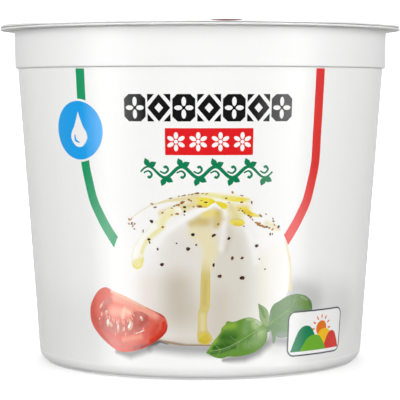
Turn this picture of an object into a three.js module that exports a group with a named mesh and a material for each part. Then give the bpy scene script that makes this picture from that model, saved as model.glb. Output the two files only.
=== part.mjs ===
// A shut, heat-sealed tub of fresh cheese: a tapered white plastic tub with a stacking
// band and a flange round its mouth, closed by a film that is sealed onto the flange.
// Millimetres, +Z up. The origin is the middle of the base, and the front faces -Y.
import * as THREE from 'three';

// Tub: one moulding, filled up to the film, so it is one solid.
const BAND_BOTTOM_HEIGHT = 86.0; // the step under the stacking band
const WALL_TOP_RADIUS = 53.95; // where the tapered wall meets the step
const WALL_BASE_RADIUS = 47.6; // the wall's line carried on down to the floor
const BAND_BOTTOM_RADIUS = 54.75;
const BAND_TOP_RADIUS = 54.95;
const BAND_EDGE_ROUND = 0.45; // round of the band's lower edge
const HEEL_RADIUS = 3.5; // round between the wall and the foot
const FOOT_INNER_RADIUS = 39.5; // inner edge of the ring that the tub stands on
const RECESS_DEPTH = 1.2; // the base panel is raised by this inside the foot ring
const RECESS_SLOPE = 1.0;

// Flange: the flat ring that the film is sealed onto.
const FLANGE_RADIUS = 59.0;
const FLANGE_UNDERSIDE = 97.05;
const FLANGE_TOP = 97.65;
const FLANGE_EDGE_ROUND = 0.25;
const FLANGE_FILLET = 0.5; // between the band and the flange's underside

// Film: sealed flat on the flange, slightly domed inside it and a little wavy at its free edge.
const FILM_RADIUS = 58.9;
const FILM_THICKNESS = 0.3;
const FILM_DOME = 0.7; // how far the middle stands above the sealed ring
const SEAL_INNER_RADIUS = 54.0;
const SEAL_OUTER_RADIUS = 57.0;
const EDGE_LIFT = 0.33; // mean lift of the free edge off the flange
const EDGE_ROLL = 0.35; // the very edge curls down to this share of the lift
const EDGE_ROLL_WIDTH = 0.25;
// Ripples round the free edge: waves in a full turn, height, and the angle of a crest.
const EDGE_RIPPLES = [
  { waves: 11, height: 0.09, crest: -0.42 },
  { waves: 5, height: 0.07, crest: -1.15 },
];
// Two lips where the edge curls up further: the angle of the lip, its half width and height.
const EDGE_LIPS = [
  { angle: -1.27, width: 0.16, height: 0.36 },
  { angle: 0.78, width: 0.25, height: 0.18 },
];

const TURN_SEGMENTS = 96;
const ARC_STEPS = 3; // divisions of a quarter turn in a profile, doubled by Path

// Turns a profile of (radius, height) points about the upright axis.
function turned(profile) {
  const geometry = new THREE.LatheGeometry(profile, TURN_SEGMENTS);
  geometry.rotateX(Math.PI / 2);
  return geometry;
}

function tubProfile() {
  const lean = Math.atan2(WALL_TOP_RADIUS - WALL_BASE_RADIUS, BAND_BOTTOM_HEIGHT);
  const wallRadius = (height) => WALL_BASE_RADIUS + height * Math.tan(lean);
  const heelCentre = wallRadius(HEEL_RADIUS) - HEEL_RADIUS / Math.cos(lean);
  const bandRoundCentre = BAND_BOTTOM_RADIUS - BAND_EDGE_ROUND;
  const fillet = FLANGE_FILLET;
  const round = FLANGE_EDGE_ROUND;
  const path = new THREE.Path();
  path.moveTo(0, RECESS_DEPTH);
  path.lineTo(FOOT_INNER_RADIUS - RECESS_SLOPE, RECESS_DEPTH);
  path.lineTo(FOOT_INNER_RADIUS, 0);
  path.lineTo(heelCentre, 0);
  path.absarc(heelCentre, HEEL_RADIUS, HEEL_RADIUS, -Math.PI / 2, -lean, false);
  path.lineTo(WALL_TOP_RADIUS, BAND_BOTTOM_HEIGHT);
  path.lineTo(bandRoundCentre, BAND_BOTTOM_HEIGHT);
  path.absarc(bandRoundCentre, BAND_BOTTOM_HEIGHT + BAND_EDGE_ROUND, BAND_EDGE_ROUND, -Math.PI / 2, 0, false);
  path.lineTo(BAND_TOP_RADIUS, FLANGE_UNDERSIDE - fillet);
  path.absarc(BAND_TOP_RADIUS + fillet, FLANGE_UNDERSIDE - fillet, fillet, Math.PI, Math.PI / 2, true);
  path.lineTo(FLANGE_RADIUS - round, FLANGE_UNDERSIDE);
  path.absarc(FLANGE_RADIUS - round, FLANGE_UNDERSIDE + round, round, -Math.PI / 2, 0, false);
  path.absarc(FLANGE_RADIUS - round, FLANGE_TOP - round, round, 0, Math.PI / 2, false);
  path.lineTo(0, FLANGE_TOP);
  return path.getPoints(ARC_STEPS);
}

// How far the film's free edge stands off the flange, by the angle round the tub.
function edgeLift(angle) {
  let lift = EDGE_LIFT;
  for (const ripple of EDGE_RIPPLES) {
    lift += ripple.height * Math.cos(ripple.waves * (angle - ripple.crest));
  }
  for (const lip of EDGE_LIPS) {
    lift += lip.height * Math.exp(-(((angle - lip.angle) / lip.width) ** 2));
  }
  return lift;
}

function filmGeometry() {
  const rings = 4;
  const underside = [0, SEAL_INNER_RADIUS, SEAL_OUTER_RADIUS, FILM_RADIUS - EDGE_ROLL_WIDTH, FILM_RADIUS];
  const profile = underside.map((radius) => new THREE.Vector2(radius, FLANGE_TOP));
  profile.push(new THREE.Vector2(FILM_RADIUS, FLANGE_TOP + FILM_THICKNESS));
  profile.push(new THREE.Vector2(SEAL_OUTER_RADIUS, FLANGE_TOP + FILM_THICKNESS));
  for (let ring = 0; ring <= rings; ring++) {
    const share = 1 - ring / rings;
    const rise = FILM_DOME * Math.cos((share * Math.PI) / 2) ** 2;
    profile.push(new THREE.Vector2(SEAL_INNER_RADIUS * share, FLANGE_TOP + FILM_THICKNESS + rise));
  }
  const geometry = turned(profile);
  const position = geometry.getAttribute('position');
  for (let i = 0; i < position.count; i++) {
    const radius = Math.hypot(position.getX(i), position.getY(i));
    const rolled = radius > FILM_RADIUS - 0.01 && position.getZ(i) < FLANGE_TOP + 0.01;
    const share = rolled ? EDGE_ROLL : THREE.MathUtils.smoothstep(radius, SEAL_OUTER_RADIUS, FILM_RADIUS);
    // The angle is counted from the front, towards +X.
    const angle = Math.atan2(position.getX(i), -position.getY(i));
    position.setZ(i, position.getZ(i) + share * edgeLift(angle));
  }
  geometry.computeVertexNormals();
  return geometry;
}

function named(name, geometry, material) {
  const mesh = new THREE.Mesh(geometry, material);
  mesh.name = name;
  return mesh;
}

const whitePlastic = new THREE.MeshStandardMaterial({ color: 0xf4f4f3, roughness: 0.35, metalness: 0 });
const whiteFilm = new THREE.MeshStandardMaterial({ color: 0xf6f6f4, roughness: 0.25, metalness: 0 });

const pack = new THREE.Group();
pack.add(named('tub', turned(tubProfile()), whitePlastic));
pack.add(named('lid_film', filmGeometry(), whiteFilm));

export default pack;
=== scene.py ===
import math

import bpy
import numpy as np
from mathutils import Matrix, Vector
from mathutils.geometry import delaunay_2d_cdt


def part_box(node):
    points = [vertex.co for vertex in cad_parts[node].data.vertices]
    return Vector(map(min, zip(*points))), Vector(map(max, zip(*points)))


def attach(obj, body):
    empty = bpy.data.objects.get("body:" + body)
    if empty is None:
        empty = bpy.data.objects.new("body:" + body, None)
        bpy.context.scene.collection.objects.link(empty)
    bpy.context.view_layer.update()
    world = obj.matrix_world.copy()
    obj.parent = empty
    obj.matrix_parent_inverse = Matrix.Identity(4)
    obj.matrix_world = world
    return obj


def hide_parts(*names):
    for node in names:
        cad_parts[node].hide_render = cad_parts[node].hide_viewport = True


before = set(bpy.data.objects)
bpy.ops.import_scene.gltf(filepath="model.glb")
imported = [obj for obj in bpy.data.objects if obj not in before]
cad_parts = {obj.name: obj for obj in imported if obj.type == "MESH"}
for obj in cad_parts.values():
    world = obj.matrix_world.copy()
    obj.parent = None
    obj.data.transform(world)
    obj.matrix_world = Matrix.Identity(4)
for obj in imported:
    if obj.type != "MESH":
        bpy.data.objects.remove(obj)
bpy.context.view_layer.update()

# --- Tub ---------------------------------------------------------------------------
# One injection moulding of white polypropylene: a tapered wall on a rounded heel and
# a foot ring, a straight stacking band, and the flat flange that the lid is sealed to.
# The sizes are millimetres, as everywhere below, and MM turns them into metres.

MM = 0.001
FLANGE_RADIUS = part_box("tub")[1].x / MM
FLANGE_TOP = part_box("tub")[1].z / MM
FLANGE_THICKNESS = 0.6
FLANGE_UNDERSIDE = FLANGE_TOP - FLANGE_THICKNESS
FLANGE_EDGE_ROUND = 0.25
FLANGE_FILLET = 0.5
BAND_TOP_RADIUS = 54.95
BAND_BOTTOM_RADIUS = 54.75
BAND_BOTTOM_HEIGHT = 86.0
BAND_EDGE_ROUND = 0.45
STEP_FILLET = 0.15
WALL_TOP_RADIUS = 53.95
WALL_BASE_RADIUS = 47.6
WALL_LEAN = math.atan2(WALL_TOP_RADIUS - WALL_BASE_RADIUS, BAND_BOTTOM_HEIGHT)
HEEL_RADIUS = 3.5
FOOT_INNER_RADIUS = 39.5
FOOT_RADIUS = 45.9
FOOT_HEIGHT = 0.7
FOOT_ROUND = 0.12
RECESS_DEPTH = 1.2
RECESS_SLOPE = 1.0
GATE_RADIUS = 1.6
GATE_SLOPE = 0.3
GATE_HEIGHT = 0.35
TURN_SEGMENTS = 288
TUB_WHITE = (0.86, 0.86, 0.855, 1)
# The heel is painted a little greyer, as shade low on the tub: the colour of
# the painted shade, and the heights between which it fades out.
HEEL_SHADE_WHITE = (0.79, 0.79, 0.785, 1)
HEEL_SHADE_FADE = (3.0 * MM, 4.2 * MM)
TUB_SCATTER = (2.2 * MM, 2.0 * MM, 1.8 * MM)
TUB_GRAIN = 0.25
GRAIN_DEPTH = 0.05 * MM
# Noise keeps to the middle of its range: how much of it is used, and the roughness it gives.
NOISE_RANGE = (0.3, 0.7)
SATIN = (0.30, 0.38)


def wall_radius(height):
    """Radius of the tapered wall at a height."""
    return WALL_BASE_RADIUS + height * math.tan(WALL_LEAN)


def arc(centre, radius, start, end, steps):
    """Points of an arc in a (radius, height) profile, by angles in degrees."""
    angles = [math.radians(start + (end - start) * i / steps) for i in range(steps + 1)]
    return [(centre[0] + radius * math.cos(a), centre[1] + radius * math.sin(a)) for a in angles]


def supported(profile, gap=0.25):
    """Adds a point near both ends of each long stretch, so that shading bends only in the rounds."""
    points = [profile[0]]
    for (r0, z0), (r1, z1) in zip(profile, profile[1:]):
        length = math.hypot(r1 - r0, z1 - z0)
        if length > 4 * gap:
            for share in (gap / length, 1 - gap / length):
                points.append((r0 + (r1 - r0) * share, z0 + (z1 - z0) * share))
        points.append((r1, z1))
    return points


def new_object(name, points, faces, material):
    """A smooth mesh in the scene, from points in millimetres."""
    mesh = bpy.data.meshes.new(name)
    mesh.from_pydata([(x * MM, y * MM, z * MM) for x, y, z in points], [], faces)
    mesh.validate()
    mesh.polygons.foreach_set("use_smooth", [True] * len(mesh.polygons))
    mesh.materials.append(material)
    made = bpy.data.objects.new(name, mesh)
    bpy.context.scene.collection.objects.link(made)
    return made


def mesh_piece(name, points, faces, material, slot):
    """A piece of the tub, riding on its one body."""
    piece = new_object(name, points, faces, material)
    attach(piece, "root")
    return piece


def on_turn(radius, step):
    """A point's x and y at one of the even steps of a full turn, counted from the front."""
    angle = 2 * math.pi * step / TURN_SEGMENTS
    return radius * math.sin(angle), -radius * math.cos(angle)


def turned(profile):
    """Points and faces of a profile turned about the upright axis, closed where it meets the axis."""
    points, faces, rings = [], [], []
    for radius, height in profile:
        if radius == 0:
            rings.append([len(points)] * TURN_SEGMENTS)
            points.append((0, 0, height))
        else:
            rings.append(range(len(points), len(points) + TURN_SEGMENTS))
            points += [(*on_turn(radius, i), height) for i in range(TURN_SEGMENTS)]
    for low, high in zip(rings, rings[1:]):
        for i in range(TURN_SEGMENTS):
            j = (i + 1) % TURN_SEGMENTS
            faces.append(tuple(dict.fromkeys((low[i], low[j], high[j], high[i]))))
    return points, faces


def connect(tree, node, inputs):
    """Links or sets a node's inputs, by their names or numbers."""
    for socket, value in (inputs or {}).items():
        if isinstance(value, bpy.types.NodeSocket):
            tree.links.new(value, node.inputs[socket])
        else:
            node.inputs[socket].default_value = value


def add(tree, kind, inputs=None, **settings):
    """Adds a shader node, sets its properties, and links or sets its inputs."""
    made = tree.nodes.new("ShaderNode" + kind)
    for name, value in settings.items():
        setattr(made, name, value)
    connect(tree, made, inputs)
    return made


def calc(tree, operation, *values, **settings):
    """A number worked out from one or two others."""
    return add(tree, "Math", dict(enumerate(values)), operation=operation, **settings).outputs[0]


def ramp(tree, value, low, high, at_low=0.0, at_high=1.0, **settings):
    """A value turned from one range into another, and held at both ends."""
    inputs = {0: value, 1: low, 2: high, 3: at_low, 4: at_high}
    return add(tree, "MapRange", inputs, **settings).outputs[0]


def mixed(tree, share, start, end):
    """A number between two others."""
    return add(tree, "Mix", {0: share, 2: start, 3: end}).outputs[0]


def mixed_colour(tree, share, start, end):
    """A colour between two others."""
    return add(tree, "Mix", {0: share, 6: start, 7: end}, data_type="RGBA").outputs[2]


def noise(tree, place, scale, detail):
    """Soft noise at a place, by its scale in a metre."""
    return add(tree, "TexNoise", {"Vector": place, "Scale": scale, "Detail": detail}).outputs[0]


def own_place(tree):
    """Where a point lies on its own piece, in metres."""
    return add(tree, "TexCoord").outputs["Object"]


def new_group(name, inputs, outputs):
    """A node group with named sockets, the values given to it, and its result.

    Each input is its name, its kind and its usual value.
    """
    tree = bpy.data.node_groups.new(name, "ShaderNodeTree")
    for title, kind, value in inputs:
        socket = tree.interface.new_socket(title, in_out="INPUT", socket_type="NodeSocket" + kind)
        if value is not None:
            socket.default_value = value
    for title, kind in outputs:
        tree.interface.new_socket(title, in_out="OUTPUT", socket_type="NodeSocket" + kind)
    return tree, tree.nodes.new("NodeGroupInput").outputs, tree.nodes.new("NodeGroupOutput")


def use_group(tree, group, inputs=None):
    """Places a node group in a material with its own values, and gives its outputs."""
    made = tree.nodes.new("ShaderNodeGroup")
    made.node_tree = group
    connect(tree, made, inputs)
    return made.outputs


def new_material(name, **principled):
    """A material with a Principled shader whose constant sockets are set by name."""
    material = bpy.data.materials.new(name)
    material.use_nodes = True
    tree = material.node_tree
    shader = tree.nodes["Principled BSDF"]
    for socket, value in principled.items():
        shader.inputs[socket.replace("_", " ")].default_value = value
    return material, tree, shader


def rough_relief(tree, shader, surface, strength):
    """Gives a shader the roughness and the relief that a group puts out."""
    relief = {"Strength": strength, "Distance": GRAIN_DEPTH, "Height": surface["Height"]}
    bump = add(tree, "Bump", relief).outputs[0]
    connect(tree, shader, {"Roughness": surface["Roughness"], "Normal": bump})


def mould_grain_group():
    """Satin of a moulded surface: a fine orange peel over long shallow sink waves."""
    tree, given, result = new_group(
        "mould grain",
        [("Peel Size", "Float", 1.4), ("Wave Size", "Float", 30.0), ("Wave Share", "Float", 0.85)],
        [("Height", "Float"), ("Roughness", "Float")],
    )
    place = own_place(tree)
    peel_scale = calc(tree, "DIVIDE", 1 / MM, given["Peel Size"])
    wave_scale = calc(tree, "DIVIDE", 1 / MM, given["Wave Size"])
    peel = noise(tree, place, peel_scale, 2.0)
    wave = noise(tree, place, wave_scale, 1.0)
    height = mixed(tree, given["Wave Share"], peel, wave)
    satin = ramp(tree, peel, *NOISE_RANGE, *SATIN)
    connect(tree, result, {"Height": height, "Roughness": satin})
    return tree


def tub_material():
    material, tree, shader = new_material(
        "white moulded plastic", IOR=1.49, Subsurface_Weight=0.12, Subsurface_Radius=TUB_SCATTER,
        Subsurface_Scale=1.0)
    height = add(tree, "SeparateXYZ", {0: own_place(tree)}).outputs[2]
    # Painted shade: the white turns greyer towards the heel.
    white = mixed_colour(tree, ramp(tree, height, *HEEL_SHADE_FADE), HEEL_SHADE_WHITE, TUB_WHITE)
    tree.links.new(white, shader.inputs["Base Color"])
    rough_relief(tree, shader, use_group(tree, MOULD_GRAIN, {"Peel Size": 1.4}), TUB_GRAIN)
    return material


def tub_profile():
    """The tub's outline as (radius, height), from the middle of the base to the middle of the top."""
    heel = (wall_radius(HEEL_RADIUS) - HEEL_RADIUS / math.cos(WALL_LEAN), HEEL_RADIUS)
    heel_start = math.degrees(math.acos(1 - FOOT_HEIGHT / HEEL_RADIUS)) - 90
    step_height = BAND_BOTTOM_HEIGHT - STEP_FILLET
    band_round = (BAND_BOTTOM_RADIUS - BAND_EDGE_ROUND, BAND_BOTTOM_HEIGHT + BAND_EDGE_ROUND)
    flange_round = FLANGE_RADIUS - FLANGE_EDGE_ROUND
    # Rounds and fillets: centre, radius, first and last angle, and steps.
    rounds = (
        ((FOOT_RADIUS - FOOT_ROUND, FOOT_ROUND), FOOT_ROUND, -90, 0, 3),
        ((FOOT_RADIUS + FOOT_ROUND, FOOT_HEIGHT - FOOT_ROUND), FOOT_ROUND, 180, 90, 3),
        (heel, HEEL_RADIUS, heel_start, -math.degrees(WALL_LEAN), 14),
        ((wall_radius(step_height) + STEP_FILLET, step_height), STEP_FILLET, 180, 90, 5),
        (band_round, BAND_EDGE_ROUND, -90, 0, 6),
        ((BAND_TOP_RADIUS + FLANGE_FILLET, FLANGE_UNDERSIDE - FLANGE_FILLET), FLANGE_FILLET, 180, 90, 6),
        ((flange_round, FLANGE_UNDERSIDE + FLANGE_EDGE_ROUND), FLANGE_EDGE_ROUND, -90, 0, 4),
        ((flange_round, FLANGE_TOP - FLANGE_EDGE_ROUND), FLANGE_EDGE_ROUND, 0, 90, 4),
    )
    gate_height = RECESS_DEPTH - GATE_HEIGHT
    profile = [(0, gate_height), (GATE_RADIUS - GATE_SLOPE, gate_height), (GATE_RADIUS, RECESS_DEPTH),
               (FOOT_INNER_RADIUS - RECESS_SLOPE, RECESS_DEPTH), (FOOT_INNER_RADIUS, 0)]
    for turn in rounds:
        profile += arc(*turn)
    return supported(profile + [(0, FLANGE_TOP)])


MOULD_GRAIN = mould_grain_group()
tub = mesh_piece("tub_moulding", *turned(tub_profile()), tub_material(), "tub_plastic")
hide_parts("tub")

# --- Lid film ----------------------------------------------------------------------
# A disc of white sealing film, heat-sealed round the flange. It is slack over the
# filling, pressed thin along the seal, and its free edge ripples a little off the flange.

FILM_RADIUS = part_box("lid_film")[1].x / MM
FILM_THICKNESS = 0.3
FILM_DOME = 0.7
SEAL_INNER_RADIUS = 54.0
SEAL_OUTER_RADIUS = 57.0
# The seal's jaw presses the film thin: how deep, and where its mark begins and ends.
SEAL_PRESS = 0.12
PRESS_START = (54.4, 54.8)
PRESS_END = (56.4, 56.8)
# Slack ripples inside the seal: height, waves in a turn, their twist, and where they begin and end.
SLACK_HEIGHT = 0.05
SLACK_WAVES = 9
SLACK_TWIST = 0.06
SLACK_START = (12, 40)
SLACK_END = (46, SEAL_INNER_RADIUS)
# The free edge: its mean lift, and the share of the lift that its rolled rim keeps.
EDGE_LIFT = 0.33
EDGE_ROLL = 0.35
EDGE_ROLL_WIDTH = 0.25
EDGE_ROUND = 0.12
# Ripples of the edge: waves in a turn, height and crest. Lips of the edge: angle, width and height.
EDGE_RIPPLES = ((11, 0.09, -0.42), (5, 0.07, -1.15))
EDGE_LIPS = ((-1.27, 0.16, 0.36), (0.78, 0.25, 0.18))
FILM_RINGS = (3, 8, 14, 20, 26, 32, 37, 42, 46, 49, 51.5, 53.2, 54, 54.4, 54.6, 54.8, 55.2, 56.2, 56.4, 56.6,
              56.8, 57.2, 57.6, 58.0, 58.3, FILM_RADIUS - EDGE_ROLL_WIDTH)
FILM_WHITE = (0.89, 0.89, 0.88, 1)
FILM_GRAIN = 0.3


def smooth_step(value, low, high):
    """0 below low, 1 above high, and a smooth turn between."""
    share = np.clip((value - low) / (high - low), 0, 1)
    return share * share * (3 - 2 * share)


def edge_lift(angle):
    """How far the free edge stands off the flange. The angle is counted from the front, towards +X."""
    turn = (angle + math.pi) % (2 * math.pi) - math.pi
    ripples = sum(size * math.cos(waves * (angle - crest)) for waves, size, crest in EDGE_RIPPLES)
    lips = sum(size * math.exp(-(((turn - lip) / width) ** 2)) for lip, width, size in EDGE_LIPS)
    return EDGE_LIFT + ripples + lips


def film_top(radius, angle):
    """Height of the film's upper face."""
    dome = FILM_DOME * math.cos(0.5 * math.pi * min(radius / SEAL_INNER_RADIUS, 1)) ** 2
    slack = SLACK_HEIGHT * math.sin(SLACK_WAVES * angle + SLACK_TWIST * radius)
    slack *= smooth_step(radius, *SLACK_START) * (1 - smooth_step(radius, *SLACK_END))
    press = SEAL_PRESS * smooth_step(radius, *PRESS_START) * (1 - smooth_step(radius, *PRESS_END))
    lift = edge_lift(angle) * smooth_step(radius, SEAL_OUTER_RADIUS, FILM_RADIUS)
    return FLANGE_TOP + FILM_THICKNESS + dome + slack - press + lift


def film_mesh():
    """Upper face, rounded free edge and underside of the film."""
    rim = FILM_RADIUS - EDGE_ROUND
    # Each ring: radius, height over its base, and whether the base is the rolled edge.
    rings = [(r, 0.0, False) for r in FILM_RINGS]
    rings += [(r, z, False) for r, z in arc((rim, -EDGE_ROUND), EDGE_ROUND, 90, 0, 4)]
    rings += [(r, z, True) for r, z in arc((rim, EDGE_ROUND), EDGE_ROUND, 0, -90, 4)]
    rings += [(r, -FILM_THICKNESS, False) for r in reversed(FILM_RINGS)]
    points, faces = [(0, 0, film_top(0, 0))], []
    for radius, rise, rolled in rings:
        for i in range(TURN_SEGMENTS):
            angle = 2 * math.pi * i / TURN_SEGMENTS
            base = FLANGE_TOP + EDGE_ROLL * edge_lift(angle) if rolled else film_top(radius, angle)
            points.append((*on_turn(radius, i), base + rise))
    points.append((0, 0, film_top(0, 0) - FILM_THICKNESS))
    last = 1 + (len(rings) - 1) * TURN_SEGMENTS
    for i in range(TURN_SEGMENTS):
        j = (i + 1) % TURN_SEGMENTS
        faces.append((1 + j, 1 + i, 0))
        for low in range(1, last, TURN_SEGMENTS):
            high = low + TURN_SEGMENTS
            faces.append((low + j, high + j, high + i, low + i))
        faces.append((last + j, len(points) - 1, last + i))
    return points, faces


def film_material():
    material, tree, shader = new_material("white sealing film", Base_Color=FILM_WHITE, IOR=1.5)
    grain = use_group(tree, MOULD_GRAIN, {"Peel Size": 2.5, "Wave Size": 9.0})
    rough_relief(tree, shader, grain, FILM_GRAIN)
    return material


film = mesh_piece("lid_film_sheet", *film_mesh(), film_material(), "lid_film")
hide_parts("lid_film")

# --- Label film --------------------------------------------------------------------
# A white film laid in the mould before the plastic, so it is fused flush into the wall.
# It wraps the tub once and meets itself in a seam on the right. All printing lies under
# its clear coat, once on the front and once more on the back.

# Places on the label: u runs to the right along this radius from the front, v is the height.
U_RADIUS = 51.0
LABEL_TURN = 2 * math.pi * U_RADIUS
LABEL_SIDES = (0.0, LABEL_TURN / 2)
LABEL_BOTTOM = 3.7
LABEL_TOP = 85.6
LABEL_SEAM = LABEL_TURN / 4
SEAM_GAP = 0.3
# How far the film stands off the wall and each layer of ink off the last, and the depth of a layer.
LABEL_LIFT = 0.04
LAYER = 0.015
INK_DEPTH = 0.02
SHARP_EDGE = math.radians(50)
RIM_CLEARANCE = 0.45  # share of a step that inner points keep off an outline
# Clear coat: scales of its fine and its wide mottle and the part of their sum that is used,
# then its roughness, relief and refraction. The bare white film has its own refraction and mottle.
FINE_MOTTLE = 0.9 / MM
WIDE_MOTTLE = 0.12 / MM
COAT_MOTTLE_RANGE = (0.7, 1.3)
COAT_GLOSS = (0.13, 0.17)
COAT_RELIEF = 0.1
COAT_INDEX = 1.5
BARE_INDEX = 1.4
BARE_MOTTLE = 0.01


def tint(red, green, blue):
    """A colour as it is mixed on screen, 0 to 255, in linear light."""
    return tuple(((part / 255 + 0.055) / 1.055) ** 2.4 for part in (red, green, blue)) + (1,)


LABEL_WHITE = tint(241, 241, 240)
SHADOW_GREY = tint(92, 90, 93)
# Soft printed shadows of the picture, and first a painted shade low on both sides
# of the wall: points of the stroke with their reach, strength, and at times a core.
PRINT_SHADOWS_AND_WALL_SHADE = (
    # These first two are painted shade on the wall's lower left and right sides.
    ([(-70, 9, 22), (-34, 9, 20)], 0.075, 0.3),
    ([(34, 9, 20), (70, 9, 22)], 0.085, 0.3),
    ([(28, 24, 9), (36, 22, 11), (48, 18, 12)], 0.16, 0.1),
    ([(29, 24.5, 5), (35, 21.5, 7)], 0.26, 0.1),
    ([(-14, 9.6, 2.8), (-4, 9.2, 3.6), (4, 8.8, 3.2)], 0.62),
    ([(-15.4, 9.8, 1), (-13.2, 10.4, 1.1), (-11.6, 11, 0.9), (-9.4, 10.3, 0.4)], 0.95, 0.1),
    ([(-25.4, 7.4, 1.2), (-21, 7, 2.3), (-15.4, 8.8, 2.2)], 0.66),
    ([(6.8, 5.8, 1), (9, 6.1, 1.9), (13, 6.4, 2.3), (17, 7.9, 2.6), (19.6, 10, 2.8)], 0.72),
    ([(21, 13.6, 1.6), (21.6, 11, 2.4), (26.4, 10.4, 2.4)], 0.5),
    ([(22, 9.6, 4), (30, 9.4, 4)], 0.15),
)


def on_wall(u, v, lift):
    """The point of the tapered wall at a place on the label."""
    angle = u / U_RADIUS
    radius = wall_radius(v) + lift
    return radius * math.sin(angle), -radius * math.cos(angle), v


def dense(loop, step):
    """The closed loop with its long edges divided and its doubled points dropped."""
    line = []
    for start, end in zip(loop, np.roll(loop, -1, axis=0)):
        parts = math.ceil(math.dist(start, end) / step)
        line += [start + (end - start) * i / parts for i in range(parts)]
    return np.array(line)


def contained(points, loops):
    """Which of the points lie inside at least one of the loops."""
    found = np.zeros(len(points), bool)
    x, y = points[:, :1], points[:, 1:]
    for loop in loops:
        (ax, ay), (bx, by) = loop.T, np.roll(loop, -1, axis=0).T
        slope = (bx - ax) / np.where(by == ay, 1, by - ay)
        crossed = ((ay > y) != (by > y)) & (x < ax + (y - ay) * slope)
        found |= crossed.sum(1) % 2 == 1
    return found


def flat_shape(shapes, holes, step):
    """Corners and triangles of the shapes without the holes, fine enough to bend with the wall."""
    shapes, holes = ([dense(np.array(loop, float), step) for loop in loops] for loops in (shapes, holes))
    rim = np.concatenate(shapes + holes)
    low, high = rim.min(0), rim.max(0)
    across, up = (np.arange(low[i] + 0.5 * size, high[i], size) for i, size in enumerate((step, 2 * step)))
    inner = np.array([(x, y) for x in across for y in up] or [rim[0]])
    inner = inner[contained(inner, shapes) & ~contained(inner, holes)]
    if len(inner):
        inner = inner[[np.hypot(*(rim - spot).T).min() > RIM_CLEARANCE * step for spot in inner]]
    edges, first = [], 0
    for loop in shapes + holes:
        edges += [(first + i, first + (i + 1) % len(loop)) for i in range(len(loop))]
        first += len(loop)
    corners = [Vector(spot) for spot in np.concatenate([rim, inner])]
    result = delaunay_2d_cdt(corners, edges, [], 0, 1e-4, False)
    corners, faces = np.array([tuple(spot) for spot in result[0]]), np.array(result[2])
    middles = corners[faces].mean(1)
    return corners, faces[contained(middles, shapes) & ~contained(middles, holes)]


def printed(name, shapes, layer, material, slot, holes=(), sides=LABEL_SIDES, place=on_wall, step=1.2):
    """A field of ink as a thin closed skin. Higher layers lie on lower ones."""
    corners, faces = flat_shape(shapes, holes, step)
    top = LABEL_LIFT + layer * LAYER
    rim = {(face[i], face[(i + 1) % 3]) for face in faces.tolist() for i in range(3)}
    rim = [(start, end) for start, end in rim if (end, start) not in rim]
    points, skin = [], []
    for side in sides:
        upper, lower = len(points), len(points) + len(corners)
        points += [place(u + side, v, top) for u, v in corners]
        points += [place(u + side, v, top - INK_DEPTH) for u, v in corners]
        skin += [(a + upper, b + upper, c + upper) for a, b, c in faces.tolist()]
        skin += [(c + lower, b + lower, a + lower) for a, b, c in faces.tolist()]
        skin += [(a + upper, a + lower, b + lower, b + upper) for a, b in rim]
    piece = mesh_piece(name, points, skin, material, slot)
    piece.data.set_sharp_from_angle(angle=SHARP_EDGE)
    return piece


def label_place_group():
    """Where a point lies on the label, in millimetres, counted afresh on the back."""
    tree, _, result = new_group("label place", [], [("Place", "Vector")])
    spot = add(tree, "SeparateXYZ", {0: own_place(tree)}).outputs
    behind = calc(tree, "GREATER_THAN", spot[1], 0.0)
    facing = ramp(tree, behind, 0.0, 1.0, 1.0, -1.0)
    aside = calc(tree, "MULTIPLY", spot[0], facing)
    ahead = calc(tree, "ABSOLUTE", spot[1])
    angle = calc(tree, "ARCTAN2", aside, ahead)
    u = calc(tree, "MULTIPLY", angle, U_RADIUS)
    v = calc(tree, "MULTIPLY", spot[2], 1 / MM)
    place = add(tree, "CombineXYZ", {0: u, 1: v})
    tree.links.new(place.outputs[0], result.inputs["Place"])
    return tree


def airbrush_group():
    """A soft stroke between two places, with its own reach at each end and a core at full strength."""
    tree, given, result = new_group(
        "airbrush stroke",
        [("Place", "Vector", None), ("Start", "Vector", None), ("End", "Vector", None),
         ("Start Reach", "Float", 2.0), ("End Reach", "Float", 2.0), ("Core", "Float", 0.2)],
        [("Mask", "Float")],
    )

    def measure(operation, *values):
        node = add(tree, "VectorMath", dict(enumerate(values)), operation=operation)
        return node.outputs["Value" if operation in ("DOT_PRODUCT", "LENGTH") else "Vector"]

    reach = measure("SUBTRACT", given["Place"], given["Start"])
    line = measure("SUBTRACT", given["End"], given["Start"])
    along, length = measure("DOT_PRODUCT", reach, line), measure("DOT_PRODUCT", line, line)
    share = calc(tree, "DIVIDE", along, length, use_clamp=True)
    nearest = add(tree, "VectorMath", {0: line, "Scale": share}, operation="SCALE").outputs[0]
    distance = measure("LENGTH", measure("SUBTRACT", reach, nearest))
    width = mixed(tree, share, given["Start Reach"], given["End Reach"])
    away = calc(tree, "DIVIDE", distance, width)
    mask = ramp(tree, away, given["Core"], 1.0, 1.0, 0.0, interpolation_type="SMOOTHSTEP")
    tree.links.new(mask, result.inputs["Mask"])
    return tree


def clear_coat_group():
    """Ink under the label's clear coat: a faint mottle of the ink and of the gloss."""
    tree, given, result = new_group(
        "clear coated ink",
        [("Ink", "Color", (1, 1, 1, 1)), ("Mottle", "Float", 0.04)],
        [("Color", "Color"), ("Roughness", "Float"), ("Height", "Float")],
    )
    place = own_place(tree)
    grain = noise(tree, place, FINE_MOTTLE, 2.0)
    cloud = noise(tree, place, WIDE_MOTTLE, 1.0)
    both = calc(tree, "ADD", grain, cloud)
    least = calc(tree, "SUBTRACT", 1.0, given["Mottle"])
    level = ramp(tree, both, *COAT_MOTTLE_RANGE, least, 1.0)
    colour = add(tree, "VectorMath", {0: given["Ink"], "Scale": level}, operation="SCALE").outputs[0]
    gloss = ramp(tree, grain, *NOISE_RANGE, *COAT_GLOSS)
    connect(tree, result, {"Color": colour, "Roughness": gloss, "Height": cloud})
    return tree


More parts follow.
